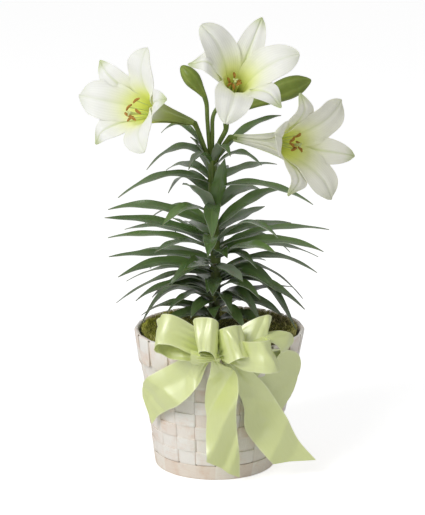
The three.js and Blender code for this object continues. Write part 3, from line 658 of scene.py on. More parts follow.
def onBasket(stake, radius, side, z):  # a point beside the middle of a stake, leaning with the basket
    angle = (stake + 0.5) / basket["stakes"] * 2 * math.pi
    x = math.cos(angle) * radius - math.sin(angle) * side
    y = math.sin(angle) * radius + math.cos(angle) * side
    return Vector((x + basket["lean"] * z, y, z))


def weaverOutside(stake, row):  # each row passes the stakes the other way round from the next
    return (stake + row) % 2 == 0


def rowAt(z):
    return (z - basket["weaverFoot"]) / basket["weaverPitch"]


def stakeBulge(stake, z):  # a stake stands out a little where it covers a row
    row = rowAt(z)
    if not 0 <= row < basket["weavers"] or weaverOutside(stake, int(row)):
        return 0
    return basket["stakeBulge"] * math.sin(math.pi * (row - int(row))) ** 2


def chipped(piece, toneAt):  # a sheet gets a chip's thickness, softened edges and tones
    thicken(piece, basket["chip"])
    applied(piece, "BEVEL", width=basket["bevel"] * mm, segments=2, limit_method="ANGLE",
            angle_limit=math.radians(50))
    markEach(piece, "tone", toneAt)
    return piece


def stakeChip(i):
    foldCentre = basket["height"] - basket["chip"] / 2 - chipStep
    fold = (0.7, 0.82)  # shares of the strip where its fold over the hoop starts and ends
    slant = 2.4 * (wobble(i, 21) - 0.5)
    flare = basket["flapFlare"] * (0.1 + wobble(i, 22))
    flapFoot = basket["flapFoot"] + 3 * (wobble(i, 23) - 0.5)
    narrowing = 0.8 + 1.5 * wobble(i, 24) ** 2
    skew = 1.6 * (wobble(i, 25) - 0.5)

    def place(u, v):
        side = 2 * u - 1
        edge = basket["edgeWander"] * ripple(i * 3.7, v * 30, side * 2)
        shift = 0
        if v < fold[0]:
            z = lerp(basket["gap"], foldCentre, v / fold[0])
            radius = wallRadius(z) + (stakeBulge(i, z) + basket["rounding"]) * (1 - side * side)
            half = stakeHalfWidth(z)
        elif v < fold[1]:
            turn = math.pi * (v - fold[0]) / (fold[1] - fold[0])
            z = foldCentre + chipStep * math.sin(turn)
            radius = wallRadius(z) + chipStep * (1 - math.cos(turn))
            half = lerp(stakeHalfWidth(z), flapHalfWidth(z) - narrowing, smoothstep(turn, 0.3, 1.6))
        else:
            down = (v - fold[1]) / (1 - fold[1])
            z = lerp(foldCentre, flapFoot + slant * side, down)
            radius = wallRadius(z) + 2 * chipStep + flare * down ** 2 + basket["rounding"] * (1 - side * side)
            half = flapHalfWidth(z) - narrowing - 0.8 * smoothstep(down, 0.9, 1)
            shift = skew * down
        return onBasket(i, radius, side * (half + edge) + shift, z)

    # The map is the chip's size in millimetres, set aside so that each chip has its own grain
    piece = scaleUv(gridPiece(f"stakeChip_{i + 1}", 6, 72, place), 22, 175, 40 * i)
    return chipped(piece, lambda co: wobble(i * 31 + max(-1, int(rowAt(co.z))), 11) ** 2)


def ringChip(name, foot, top, outsideAt, seed, depth, bulge):
    perStake = 12
    flat = 0.7  # share of each stake's pitch along which the chip lies flat

    def corner(stake, x, z):
        shift, swell = -depth, 0
        if outsideAt(stake):
            shift, swell = depth, (basket["rounding"] + bulge) * (1 - x * x)
        half = stakeHalfWidth(z) + basket["sideGap"] / 2
        return onBasket(stake, wallRadius(z) + shift + swell, x * half, z)

    def place(u, v):
        turn = v * basket["stakes"]
        stake, part = int(turn) % basket["stakes"], turn - int(turn)
        angle = v * 2 * math.pi
        wander = basket["edgeWander"] * ripple(math.cos(angle) * 9 + seed, math.sin(angle) * 9, u * 5)
        z = lerp(foot, top, u) + wander
        if part < flat:
            return corner(stake, 2 * part / flat - 1, z)
        following = (stake + 1) % basket["stakes"]
        return corner(stake, 1, z).lerp(corner(following, -1, z), smoothstep(part, flat, 1))

    def tone(co):
        angle = math.atan2(co.y, co.x - basket["lean"] * co.z) / (2 * math.pi) * basket["stakes"]
        return wobble(int(angle + basket["stakes"]) % basket["stakes"] + 43 * seed, 12) ** 2

    piece = gridPiece(name, 5, basket["stakes"] * perStake, place)
    scaleUv(piece, top - foot, 2 * math.pi * 70, 37 * seed)  # about 70 is the wall's radius
    return chipped(closeUp(piece, fill=False), tone)


def baseChips():  # two layers of slats that cross
    count = basket["slats"]
    radius = basket["baseRadius"]
    pieces = []
    for layer in range(2):
        for k in range(count):
            left = lerp(-radius, radius, k / count) + basket["slatGap"]
            right = lerp(-radius, radius, (k + 1) / count) - basket["slatGap"]

            def place(u, v, left=left, right=right, layer=layer):
                x = lerp(left, right, u)
                y = math.sqrt(max(radius ** 2 - x ** 2, 16)) * (2 * v - 1)
                z = basket["slatThickness"] * (0.5 + layer) + basket["layerGap"] * layer
                x, y = (x, y) if layer else (y, x)
                return Vector((x + basket["lean"] * z, y, z))

            slat = scaleUv(gridPiece(f"slat_{layer}_{k}", 4, 24, place), right - left, 2 * radius)
            thicken(closeUp(slat, fill=False), basket["slatThickness"])
            mark(slat, "tone", wobble(k + 20 * layer, 14) ** 2)
            pieces.append(slat)
    return joined("baseSlats", pieces)


def allOutside(stake):
    return True


settled(baseChips(), "chip_tan", "base", material=chipTan)
band = ringChip("bandChip", basket["gap"], basket["bandHeight"], allOutside, 9, chipStep, 0.0)
settled(band, "chip_tan", "band", material=chipTan)
for row in range(basket["weavers"]):
    rowFoot = basket["weaverFoot"] + basket["weaverPitch"] * row
    weaver = ringChip(f"weaverChip_{row + 1}", rowFoot, rowFoot + basket["weaverHeight"],
                      lambda stake: weaverOutside(stake, row), row + 1, basket["weaveDepth"],
                      basket["weaverBulge"])
    settled(weaver, "chip_white", f"weaver_{row + 1}", material=chipWhite)
hoopTop = basket["height"] - 2 * basket["chip"] - basket["gap"]
hoop = ringChip("hoopChip", basket["hoopFoot"], hoopTop, allOutside, 10, chipStep, 0.0)
settled(hoop, "chip_tan", "hoop", material=chipTan)
for i in range(basket["stakes"]):
    settled(stakeChip(i), "chip_white", f"stake_{i + 1}", material=chipWhite)

print("pot, soil and moss")

painted(nodes["grow_pot"], potPlastic)
painted(nodes["soil"], pottingMix)

# The first strands are a fringe that stands up along the wall, and the others lie over the bed
moss = {
    "foot": 117.3, "thickness": 22, "radius": 76.2, "hole": 6.9, "wallClear": 1.4, "bedDepth": 1.5,
    "strands": 8200, "strandLength": 7.5, "strandRadius": 0.42, "strandDepth": 2.2, "lying": 0.55,
    "fringe": 1900, "fringeInner": 0.965, "fringeTop": 142.6, "fringeLength": 1.1,
}


def mossHeight(x, y):
    share = min(math.hypot(x, y) / moss["radius"], 1)
    lumps = 0.91 + 0.15 * ripple(x / 13, y / 13, 3.1) + 0.1 * ripple(x / 5, y / 5, 7.7)
    return moss["foot"] + moss["thickness"] * lumps + 1.5 * share ** 6


def mossReach(z):  # how far out the moss may go inside the wall
    return wallRadius(z) - basket["chip"] / 2 - moss["wallClear"]


def mossBedPiece():
    topShare = 0.93  # share of the grid that makes the top, and the rest the underside

    def place(u, v):
        ring = level(2 * math.pi * v)
        out = u / topShare
        if out > 1:
            point = ring * (moss["radius"] * lerp(1, 0.1, (u - topShare) / (1 - topShare)))
            z = moss["foot"]
        else:
            point = ring * lerp(moss["hole"], moss["radius"], out)
            z = mossHeight(point.x, point.y) - moss["bedDepth"]
            point *= lerp(1, mossReach(z) / moss["radius"], out ** 4)
        return Vector((point.x + basket["lean"] * z, point.y, z))

    return closeUp(gridPiece("mossBed", 40, 120, place))


def strandMesh():  # one straight strand, a three-sided spike
    deselectAll()
    bpy.ops.mesh.primitive_cone_add(vertices=3, radius1=1, radius2=0.15, depth=1, location=(0, 0, 0.5))
    strand = bpy.context.object
    makeActive(strand)
    bpy.ops.object.transform_apply(location=True, rotation=False, scale=False)
    bpy.ops.object.mode_set(mode="EDIT")
    for k in range(1, 4):
        bpy.ops.mesh.select_all(action="SELECT")
        bpy.ops.mesh.bisect(plane_co=(0, 0, k / 4), plane_no=(0, 0, 1))
    bpy.ops.object.mode_set(mode="OBJECT")
    coordinates = [vertex.co.copy() for vertex in strand.data.vertices]
    faces = [tuple(face.vertices) for face in strand.data.polygons]
    bpy.data.objects.remove(strand)
    return coordinates, faces


def mossStrandPiece():
    coordinates, faces = strandMesh()
    allPoints, allFaces, tones = [], [], []
    for i in range(moss["strands"]):
        angle = 2 * math.pi * wobble(i, 31)
        fringe = i < moss["fringe"]
        inner = moss["fringeInner"] if fringe else moss["hole"] / moss["radius"]
        radius = lerp(inner, 1.02, math.sqrt(wobble(i, 32))) * moss["radius"]
        x, y = math.cos(angle) * radius, math.sin(angle) * radius
        foot = Vector((x, y, mossHeight(x, y) - moss["strandDepth"]))
        heading = 2 * math.pi * wobble(i, 33) + 2 * ripple(x / 9, y / 9, 1.5)
        lean = level(heading)
        side = up.cross(lean)
        length = moss["strandLength"] * (0.5 + 0.8 * wobble(i, 34)) * (moss["fringeLength"] if fringe else 1)
        curl = 0.5 + (0.9 if fringe else 1.6) * wobble(i, 35)
        width = moss["strandRadius"] * (0.6 + 0.8 * wobble(i, 36))
        start = len(allPoints)
        for point in coordinates:
            bend = curl * point.z
            reach = length * (1 - math.cos(bend)) / curl
            rise = length * math.sin(bend) / curl * (1 if fringe else moss["lying"])
            spot = foot + lean * (reach + point.x * width) + up * rise + side * (point.y * width)
            spot.z = clamp(spot.z, moss["foot"] + 0.2, moss["fringeTop"])
            outward = math.hypot(spot.x, spot.y) / mossReach(spot.z)
            if outward > 1:
                spot.x, spot.y = spot.x / outward, spot.y / outward
            allPoints.append(Vector((spot.x + basket["lean"] * spot.z, spot.y, spot.z)) * mm)
        allFaces.extend(tuple(start + k for k in face) for face in faces)
        tones.extend([max(wobble(i, 37), wobble(i, 38) if fringe else 0)] * len(coordinates))
    mesh = bpy.data.meshes.new("mossStrands")
    mesh.from_pydata(allPoints, [], allFaces)
    mesh.attributes.new("tone", "FLOAT", "POINT").data.foreach_set("value", tones)
    piece = bpy.data.objects.new("mossStrands", mesh)
    bpy.context.collection.objects.link(piece)
    return piece


settled(mossBedPiece(), "moss", "moss", material=mossBed)
settled(mossStrandPiece(), "moss", material=mossStrands)

print("stem and leaves")

stem = {
    "top": 314, "footRadius": 6, "topRadius": 4.4,
    "line": points((0, 0, 100), (-1, 0, 150), (0.5, 0.5, 205), (-1.5, 0, 262), (-3, 0, 314)),
    "leafThickness": 0.7, "leafRoot": 2.8, "leafTurn": 18, "channel": 0.16, "wave": 0.7, "sway": 0.9,
}
# Leaves: height of the root, azimuth, reach, rise half-way, rise at the tip, width
leftLeaves = [
    (243, 169, 106, 19, 14, 13), (233, -172, 107, 18, 24, 12), (225, 153, 101, 14, 7, 15),
    (222, -166, 106, 18, 18, 14), (212, 175, 105, 6, 1, 12), (210, 143, 101, 5, -4, 15),
    (221, -131, 86, 17, 14, 16), (200, -168, 96, 13, 0, 14), (196, 153, 100, 3, -17, 13),
    (198, 171, 99, -5, -34, 13), (177, -152, 85, 18, 5, 13), (169, 143, 83, 9, -22, 17),
    (156, 157, 78, 9, -8, 13), (255, -131, 73, 14, 2, 15), (234, -144, 52, 14, 28, 14),
    (288, -174, 91, 8, -13, 15), (312, 162, 66, 10, -14, 15), (292, 132, 68, 10, -1, 14),
    (310, -125, 37, 11, -2, 11), (258, -135, 40, 24, 34, 24),
]
rightLeaves = [
    (282, -9, 97, 6, -13, 13), (243, 21, 70, 26, 34, 16), (240, 50, 78, 8, 12, 14),
    (229, -37, 74, 25, 15, 15), (225, 5, 112, 17, 15, 12), (233, 42, 104, 5, 0, 13),
    (217, -11, 106, 18, 8, 14), (214, 16, 106, 10, -6, 13), (214, -47, 82, 20, 20, 16),
    (200, -6, 99, 18, 2, 14), (196, 16, 90, 6, -30, 14), (190, -10, 88, 4, -24, 14),
    (194, 26, 80, -4, -46, 16), (173, -9, 66, 3, -14, 18), (208, -70, 74, 3, 0, 15),
    (163, 57, 59, 3, -7, 13), (305, -18, 48, 15, 4, 13), (310, 21, 71, 32, 42, 10),
    (310, -65, 39, 20, 12, 12),
]
frontLeaves = [
    (266, -91, 75, 0, -18, 16), (235, -95, 75, 6, -3, 15), (208, -108, 84, 10, 17, 14),
    (195, -92, 70, 4, 0, 14), (260, -60, 19, 29, 55, 17), (306, -160, 20, 18, 30, 9),
]
backFan = {
    "count": 15, "azimuth": 90, "halfAngle": 62, "turn": 0.618, "lowest": 168, "rise": 130,
    "reach": 74, "longer": 26, "width": 13,
}


def backLeaf(i):
    share = i / (backFan["count"] - 1)
    azimuth = backFan["azimuth"] + backFan["halfAngle"] * (((i * backFan["turn"]) % 1) * 2 - 1)
    fullness = math.sin(math.pi * min(share + 0.25, 1))
    reach = backFan["reach"] + backFan["longer"] * fullness * (0.7 + 0.3 * wobble(i, 1))
    return (backFan["lowest"] + backFan["rise"] * share, azimuth, reach, 10 + 10 * wobble(i, 2),
            14 - 26 * wobble(i, 3), backFan["width"] + 3 * wobble(i, 4))


innerLeaves = [  # short and hanging leaves that close the gaps round the stem
    (188, -100, 42, 10, 2, 13), (176, -70, 46, 8, -6, 14), (168, -120, 44, 8, -4, 14),
    (160, -90, 36, 10, 4, 14), (205, -125, 52, 12, 6, 14), (182, -45, 60, 14, 2, 14),
    (172, -140, 58, 12, -2, 14), (158, -55, 50, 10, -4, 15), (150, -110, 40, 8, -4, 14),
    (216, -75, 42, 12, 8, 13), (192, -30, 66, 12, -2, 13), (186, -155, 66, 12, -4, 13),
    (150, -20, 56, 10, -2, 15), (152, -160, 54, 10, -2, 15), (188, -12, 80, 12, -43, 19),
    (178, -168, 72, 14, -26, 16), (312, 150, 56, 31, 22, 7), (170, -35, 52, 16, -12, 16),
    (200, -150, 50, 10, -8, 15), (214, -28, 44, 8, -6, 13),
]
backLeaves = [backLeaf(i) for i in range(backFan["count"])]
leaves = leftLeaves + rightLeaves + frontLeaves + backLeaves + innerLeaves
turnedLeaves = (14, 18, 34, 43)  # these show their paler underside


def stemAt(z):
    foot = stem["line"][0].z
    return curveAt(stem["line"], (z - foot) / (stem["top"] - foot))


def leafOutline(t):
    return math.sin(math.pi * (0.12 + 0.88 * min(t, 0.992))) ** 0.9


def leafPiece(number, height, azimuth, reach, midRise, tipRise, width):
    outward = level(math.radians(azimuth))
    turn = math.radians(stem["leafTurn"] * outward.x + 20 * (wobble(number, 7) - 0.5))
    across = up.cross(outward) * math.cos(turn) + up * math.sin(turn)
    root = stemAt(height) + outward * stem["leafRoot"]
    middle = root + outward * (reach * 0.5) + up * midRise
    tip = root + outward * reach + up * tipRise
    control = middle * 2 - root * 0.5 - tip * 0.5
    twist = 0.5 * (wobble(number, 41) - 0.5)

    def place(u, t):
        side = 2 * u - 1
        full = leafOutline(t)
        tangent = ((control - root) * (1 - t) + (tip - control) * t).normalized()
        turned = Matrix.Rotation(twist * t, 3, tangent) @ across
        normal = tangent.cross(turned).normalized()
        fold = stem["channel"] * width * (abs(side) ** 1.3) * full * (1 - 0.5 * t)
        wave = stem["wave"] * side * abs(side) * math.sin(t * 17 + number * 1.7) * full
        sway = stem["sway"] * math.sin(t * math.pi * 2 + number) * math.sin(math.pi * t)
        return (bowed(root, control, tip, t) + turned * (side * width / 2 * full + sway)
                + normal * (fold + wave))

    piece = gridPiece(f"leaf_{number}", 6, 30, place)
    skins = (leafTop, leafUnder) if number in turnedLeaves else (leafUnder, leafTop)
    thicken(painted(piece, *skins), stem["leafThickness"], back=1)
    mark(piece, "tone", wobble(number, 43))
    return piece


def rodPiece(name, line, radiusAt, around=14, along=40):
    return tubePiece(name, around, along, lambda v: curveAt(line, v), radiusAt)


def stemPiece():
    def radiusAt(v, angle):
        scar = 0.35 * max(0, math.sin(v * 260 + 2.4 * angle)) ** 6
        ribs = 1 + 0.03 * math.sin(3 * angle + v * 9)
        return lerp(stem["footRadius"], stem["topRadius"], v) * ribs + scar

    return rodPiece("stemRod", stem["line"], radiusAt, 20, 160)


# Blooms: bend is how far the tube bends, in degrees towards its two cross directions, and mouth where and
# how far its rim is set back. tube, the cream tint and throatLight are how green the outside is, how far the
# blade's white is darkened to cream as painted shade for a bloom out of the light, and how bright the
# throat's painted glow is. Each tepal has its turn to the side, how far its tip curls back and how much
# farther out it reaches. lie is the angle at which the anthers lie across their filaments
blooms = [
    {
        "name": "bloom_left", "base": (-19.8, -5, 349.3), "yaw": -38.5, "lift": 18.6, "bend": (-2, -3.5),
        "roll": 125.5, "scale": 1.03, "innerParity": 1, "tube": 1.0, "shadeCream": 0.0, "throatLight": 1.0,
        "mouth": (0, 0),
        "tepals": ((12, 8, 0), (2, 4, 0), (2, -2, 0), (5, 7, 0), (-16, 14, 0), (-8, 6, 0)),
        "stamens": {"reach": 96, "spread": 9, "towards": (0, -7), "anther": 8.5, "lie": 0.2},
    },
    {
        "name": "bloom_centre", "base": (10.8, -5, 348.6), "yaw": 6.8, "lift": 42.4, "bend": (6.7, -5.5),
        "roll": 128.5, "scale": 1, "innerParity": 0, "tube": 0.6, "shadeCream": 0.25, "throatLight": 0.2,
        "mouth": (0, 0),
        "tepals": ((5, 5, 0), (-1, 3, 0), (5, 4, 0), (4, 14, 0), (3, 20, 8), (-18, 20, 0)),
        "stamens": {"reach": 77, "spread": 6.5, "towards": (-3, -1), "anther": 6, "lie": 1.2},
    },
    {
        "name": "bloom_right", "base": (14.7, -5, 335.7), "yaw": 50.6, "lift": -1.6, "bend": (-5, 5.8),
        "roll": 106.2, "scale": 1.01, "innerParity": 1, "tube": 0.12, "shadeCream": 1.0, "throatLight": 0.4,
        "mouth": (160, 13),
        "tepals": ((-7, 14, 0), (1, 5, 0), (-2, 3, 0), (4, 6, 0), (11, 16, 0), (-6, 12, 0)),
        "stamens": {"reach": 84, "spread": 7, "towards": (0, 1), "anther": 8, "lie": -0.1},
    },
]
buds = [
    {"name": "bud_left", "base": (-9.9, 5, 373.8), "tip": (-33.2, 5, 404.2), "radius": 8.6, "widest": 0.55,
     "ways": points((-6, 3, 330), (-7.6, 4.6, 352), (-8.4, 5, 367))},
    {"name": "bud_right", "base": (24.6, 10, 361), "tip": (94.6, 15, 389), "radius": 11.5, "widest": 0.68,
     "ways": points((-2.6, 4, 335), (-1.4, 7, 356), (6, 8.6, 365), (15, 9.4, 362))},
]


def bloomAxes(bloom):
    yaw, lift = math.radians(bloom["yaw"]), math.radians(bloom["lift"])
    axis = Vector((math.sin(yaw) * math.cos(lift), -math.cos(yaw) * math.cos(lift), math.sin(lift)))
    first = up.cross(axis).normalized()
    return axis, first, axis.cross(first)


def stalkPiece(name, base, axis, lean, radius, ways=()):
    end = Vector(base) + axis * 0.8
    neck = end - axis * 4 - up * 4
    foot = Vector((-3 + lean * 1.5, lean * 0.5, stem["top"] - 8))
    middle = foot.lerp(neck, 0.5) + Vector((lean, 0, 4))
    swell = [(0, 0.92), (0.6, 0.95), (0.9, 1.1), (1, 1.15)]
    line = [foot, *ways] if ways else [foot, middle, neck]
    return rodPiece(name, line + [end], lambda v, angle: radius * follow(swell, v))


def leafyStem():
    greens = [stemPiece()]
    for i, bloom in enumerate(blooms):
        greens.append(stalkPiece(f"stalk_{i}", bloom["base"], bloomAxes(bloom)[0], i - 1, 2.6))
    for i, bud in enumerate(buds):
        axis = (Vector(bud["tip"]) - Vector(bud["base"])).normalized()
        greens.append(stalkPiece(f"budStalk_{i}", bud["base"], axis, i - 0.5, 2.2, bud["ways"]))
    for piece in greens:
        painted(piece, stemGreen)
    blades = [leafPiece(number, *leaf) for number, leaf in enumerate(leaves)]
    return joined("leafyStem", greens + blades)


settled(leafyStem(), "leaf", "leafy_stem", angle=60)

print("blooms")

# Tepal midline: share of its length, distance along the bloom, distance from its axis.
# Outlines: share of the length, share of the half width
tepalLine = [
    (0, 0, 2), (0.15, 20, 3.7), (0.3, 40, 5.8), (0.45, 60, 9.2), (0.59, 78, 14.3),
    (0.7, 92, 22.3), (0.81, 103, 33), (0.89, 109, 43), (0.95, 112, 51), (1, 112.5, 57),
]
innerOutline = [
    (0, 0.1), (0.15, 0.16), (0.3, 0.25), (0.45, 0.42), (0.55, 0.72), (0.68, 0.96), (0.77, 1), (0.88, 0.83),
    (0.95, 0.5), (0.985, 0.24), (1, 0.06),
]
outerOutline = [
    (0, 0.1), (0.15, 0.24), (0.3, 0.38), (0.45, 0.56), (0.55, 0.74), (0.66, 0.97), (0.74, 1), (0.86, 0.78),
    (0.95, 0.4), (0.985, 0.18), (1, 0.07),
]
tepal = {
    "thickness": 0.6, "innerWidth": 37, "outerWidth": 26, "whorlGap": 1.9, "start": 0.05,
    "groove": 0.9, "shoulder": 0.5, "innerRuffle": 1.5, "outerRuffle": 0.6, "curlStart": 0.72,
}
receptacleLength = 17
bloomLength = 112


def bent(point, bend):  # a point of the straight bloom, carried along its gentle bend
    towards = Vector((math.radians(bend[0]), math.radians(bend[1]), 0))
    radius = bloomLength / towards.length
    towards.normalize()
    beside = Vector((-towards.y, towards.x, 0))
    angle = point.z / radius
    near = point.dot(towards)
    return (beside * point.dot(beside) + towards * (radius * (1 - math.cos(angle)) + near * math.cos(angle))
            + up * ((radius - near) * math.sin(angle)))


def inBloom(bloom, point):  # from the bloom's own frame to the plant's
    axis, first, second = bloomAxes(bloom)
    return Vector(bloom["base"]) + first * point.x + second * point.y + axis * point.z


def tepalPiece(bloom, index):
    inner = index % 2 == bloom["innerParity"]
    turnAside, curl, longer = bloom["tepals"][index]
    angle = math.radians(bloom["roll"] - 60 * index + turnAside)
    outward = level(angle)
    across = up.cross(outward)
    halfWidth = (tepal["innerWidth"] if inner else tepal["outerWidth"]) / 2
    ruffle = tepal["innerRuffle"] if inner else tepal["outerRuffle"]
    outline = innerOutline if inner else outerOutline
    phase = index * 1.9 + bloom["yaw"]

    def line(t):
        curled = curl * smoothstep(t, tepal["curlStart"], 1) ** 2
        radius = follow(tepalLine, t, 2) - 0.35 * curled + longer * smoothstep(t, 0.6, 1)
        return follow(tepalLine, t, 1) - curled, radius

    def place(u, v):
        t = lerp(tepal["start"], 1, v)
        share = 2 * u - 1
        s, r = line(t)
        ahead, behind = line(min(t + 0.01, 1)), line(min(t + 0.01, 1) - 0.02)
        slope = Vector((ahead[0] - behind[0], ahead[1] - behind[1])).normalized()
        half = halfWidth * follow(outline, t)
        hollow = r * (1 + 3 * smoothstep(follow(tepalLine, t), 90, 110))  # radius of the cross-section
        back = 0 if inner else tepal["whorlGap"] * (0.5 + 0.7 * t)
        flared = smoothstep(t, 0.4, 0.75)
        along = smoothstep(t, 0.1, 0.4) * (1 - 0.6 * smoothstep(t, 0.9, 1))
        groove = tepal["groove"] * hill(share, 0.09) * along
        shoulder = tepal["shoulder"] * hill(abs(share) - 0.3, 0.2) * flared
        wave = ruffle * abs(share) ** 3 * math.sin(t * 24 + phase + (2 if share > 0 else 0)) * flared
        offset = back + groove - shoulder + wave
        turn = share * half / hollow
        towards = max(0, math.cos(angle + math.atan2(share * half, r) - math.radians(bloom["mouth"][0])))
        s -= bloom["mouth"][1] * towards ** 2 * smoothstep(t, 0.35, 0.65) * (1 - smoothstep(t, 0.74, 1))
        radial = r - hollow + (hollow + slope.x * offset) * math.cos(turn)
        sideways = (hollow + slope.x * offset) * math.sin(turn)
        point = up * (s - slope.y * offset) + outward * radial + across * sideways
        return inBloom(bloom, bent(point, bloom["bend"]) * bloom["scale"])

    piece = painted(gridPiece(f"{bloom['name']}_tepal_{index}", 18, 52, place), tepalOutside, tepalInside)
    thicken(piece, tepal["thickness"], back=1)
    mark(piece, "outer", 0.0 if inner else 1.0)
    for trait in ("tube", "shadeCream", "throatLight"):
        mark(piece, trait, bloom[trait])
    return piece


def receptaclePiece(bloom):
    shape = [(0, 2.5), (0.3, 3.0), (0.7, 3.3), (1, 3.4)]

    def centreAt(v):
        return inBloom(bloom, bent(up * (receptacleLength * v), bloom["bend"]) * bloom["scale"])

    return tubePiece(f"{bloom['name']}_receptacle", 24, 8, centreAt, lambda v, angle: follow(shape, v))


def perianth(bloom):
    blades = [tepalPiece(bloom, index) for index in range(6)]
    foot = painted(receptaclePiece(bloom), stemGreen)
    return joined(bloom["name"].replace("bloom_", "perianth_"), blades + [foot])


stamen = {
    "turn": 14, "uneven": 6, "filament": 0.65, "filamentTop": 0.5, "anther": 1.45,
    "ovary": 12, "style": 1.0, "styleTop": 1.5, "styleLead": 3, "lobe": 1.15, "lobeTip": 0.85,
}


def filamentRadius(v, angle):
    return lerp(stamen["filament"], stamen["filamentTop"], v)


def antherRadius(v, angle):
    body = math.sin(math.pi * clamp(0.06 + 0.88 * v)) ** 0.5
    return stamen["anther"] * body * (1 - 0.2 * math.cos(angle) ** 8)


def styleRadius(v, angle):
    return lerp(stamen["style"], stamen["styleTop"], smoothstep(v, 0.85, 1))


def lobeRadius(v, angle):
    return lerp(stamen["lobe"], stamen["lobeTip"], v)


def stamenPieces(bloom):
    own = bloom["stamens"]
    reach, towards = own["reach"], own["towards"]
    foot = receptacleLength + 0.3
    ovary = [(0, 2.3), (0.5, 2.4), (1, 1.7)]

    def at(s, aside, share):  # a point of the bloom's own frame, hanging over by a share
        hang = Vector((towards[0] * share, towards[1] * share, s))
        return inBloom(bloom, bent(aside + hang, bloom["bend"]))

    greens = [tubePiece("ovary", 12, 8, lambda v: inBloom(bloom, up * (foot + stamen["ovary"] * v)),
                        lambda v, angle: follow(ovary, v) * (1 + 0.08 * math.cos(3 * angle)))]
    rusts = []
    for i in range(6):
        outward = level(math.radians(bloom["roll"] - 60 * i + stamen["turn"]))
        aside = outward * (own["spread"] * (0.6 + 0.8 * wobble(i, 8)))
        top = reach + stamen["uneven"] * (wobble(i, 5) - 0.5)
        half = level(own["lie"] + 1.4 * (wobble(i, 6) - 0.5)) * (own["anther"] / 2)
        line = [at(foot + 8, outward * 1.2, 0), at(lerp(foot, top, 0.55), aside * 0.42, 0.35),
                at(top, aside, 1)]
        greens.append(rodPiece(f"filament_{i}", line, filamentRadius, 8, 16))
        ends = [at(top - 0.8, aside - half, 1), at(top + 0.7, aside, 1), at(top - 0.8, aside + half, 1)]
        rusts.append(rodPiece(f"anther_{i}", ends, antherRadius, 10, 14))
    middle, beside = Vector((0, 0, 0)), Vector((1, 0, 0))
    end = reach + stamen["styleLead"]
    style = [at(foot + 8, middle, 0), at(60, middle, 0.5), at(end, beside, 1.1)]
    greens.append(rodPiece("style", style, styleRadius, 10, 24))
    lobes = []
    for k in range(3):
        side = level(2 * math.pi * k / 3 + 0.5)
        lobe = [at(end + rise, beside + side * r, 1.1) for r, rise in ((0, -1.5), (1.2, 0.2), (2.5, 0))]
        lobes.append(rodPiece(f"lobe_{k}", lobe, lobeRadius, 8, 6))
    for group, material in ((greens, filamentGreen), (rusts, pollenRust), (lobes, stigmaGreen)):
        for piece in group:
            painted(piece, material)
    return joined(bloom["name"].replace("bloom_", "stamens_"), greens + rusts + lobes)


for bloom in blooms:
    settled(perianth(bloom), "tepal", bloom["name"], angle=60)
    settled(stamenPieces(bloom), "stamen", f"{bloom['name']}_stamens", angle=60)


def budPiece(bud):
    widest = bud["widest"]
    outline = [(0, 0.27), (widest * 0.3, 0.5), (widest * 0.7, 0.86), (widest, 1), ((1 + widest) / 2, 0.82),
               (0.96, 0.36), (1, 0.1)]
    base, tip = Vector(bud["base"]), Vector(bud["tip"])
    control = base.lerp(tip, 0.5) + up * 2.5

    def radiusAt(v, angle):
        groove = 0.09 * (0.5 - 0.5 * math.cos(6 * angle)) ** 3 + 0.03 * (0.5 - 0.5 * math.cos(3 * angle))
        return bud["radius"] * follow(outline, v) * (1 - groove * smoothstep(v, 0.05, 0.3))

    return tubePiece(bud["name"].replace("bud_", "budSkin_"), 60, 60, lambda v: bowed(base, control, tip, v),
                     radiusAt)


for bud in buds:
    settled(budPiece(bud), "bud", bud["name"], material=budGreen, angle=60)

print("ribbon")

ribbon = {
    "width": satin["width"], "thickness": 0.45, "pleats": 4.5, "tuck": 0.5, "gatheredHalf": 4,
    "pleatDepth": 1.9, "loopWander": 0.4, "tailPleat": 0.8, "tailWander": 0.35,
}
knot = Vector((2, -98, 142.5))
knotBack = -91.5
knotDepth = 13
wrapLength = 50  # length of the ribbon that goes round the knot
pinchTop = 145
pinchHeight = 9
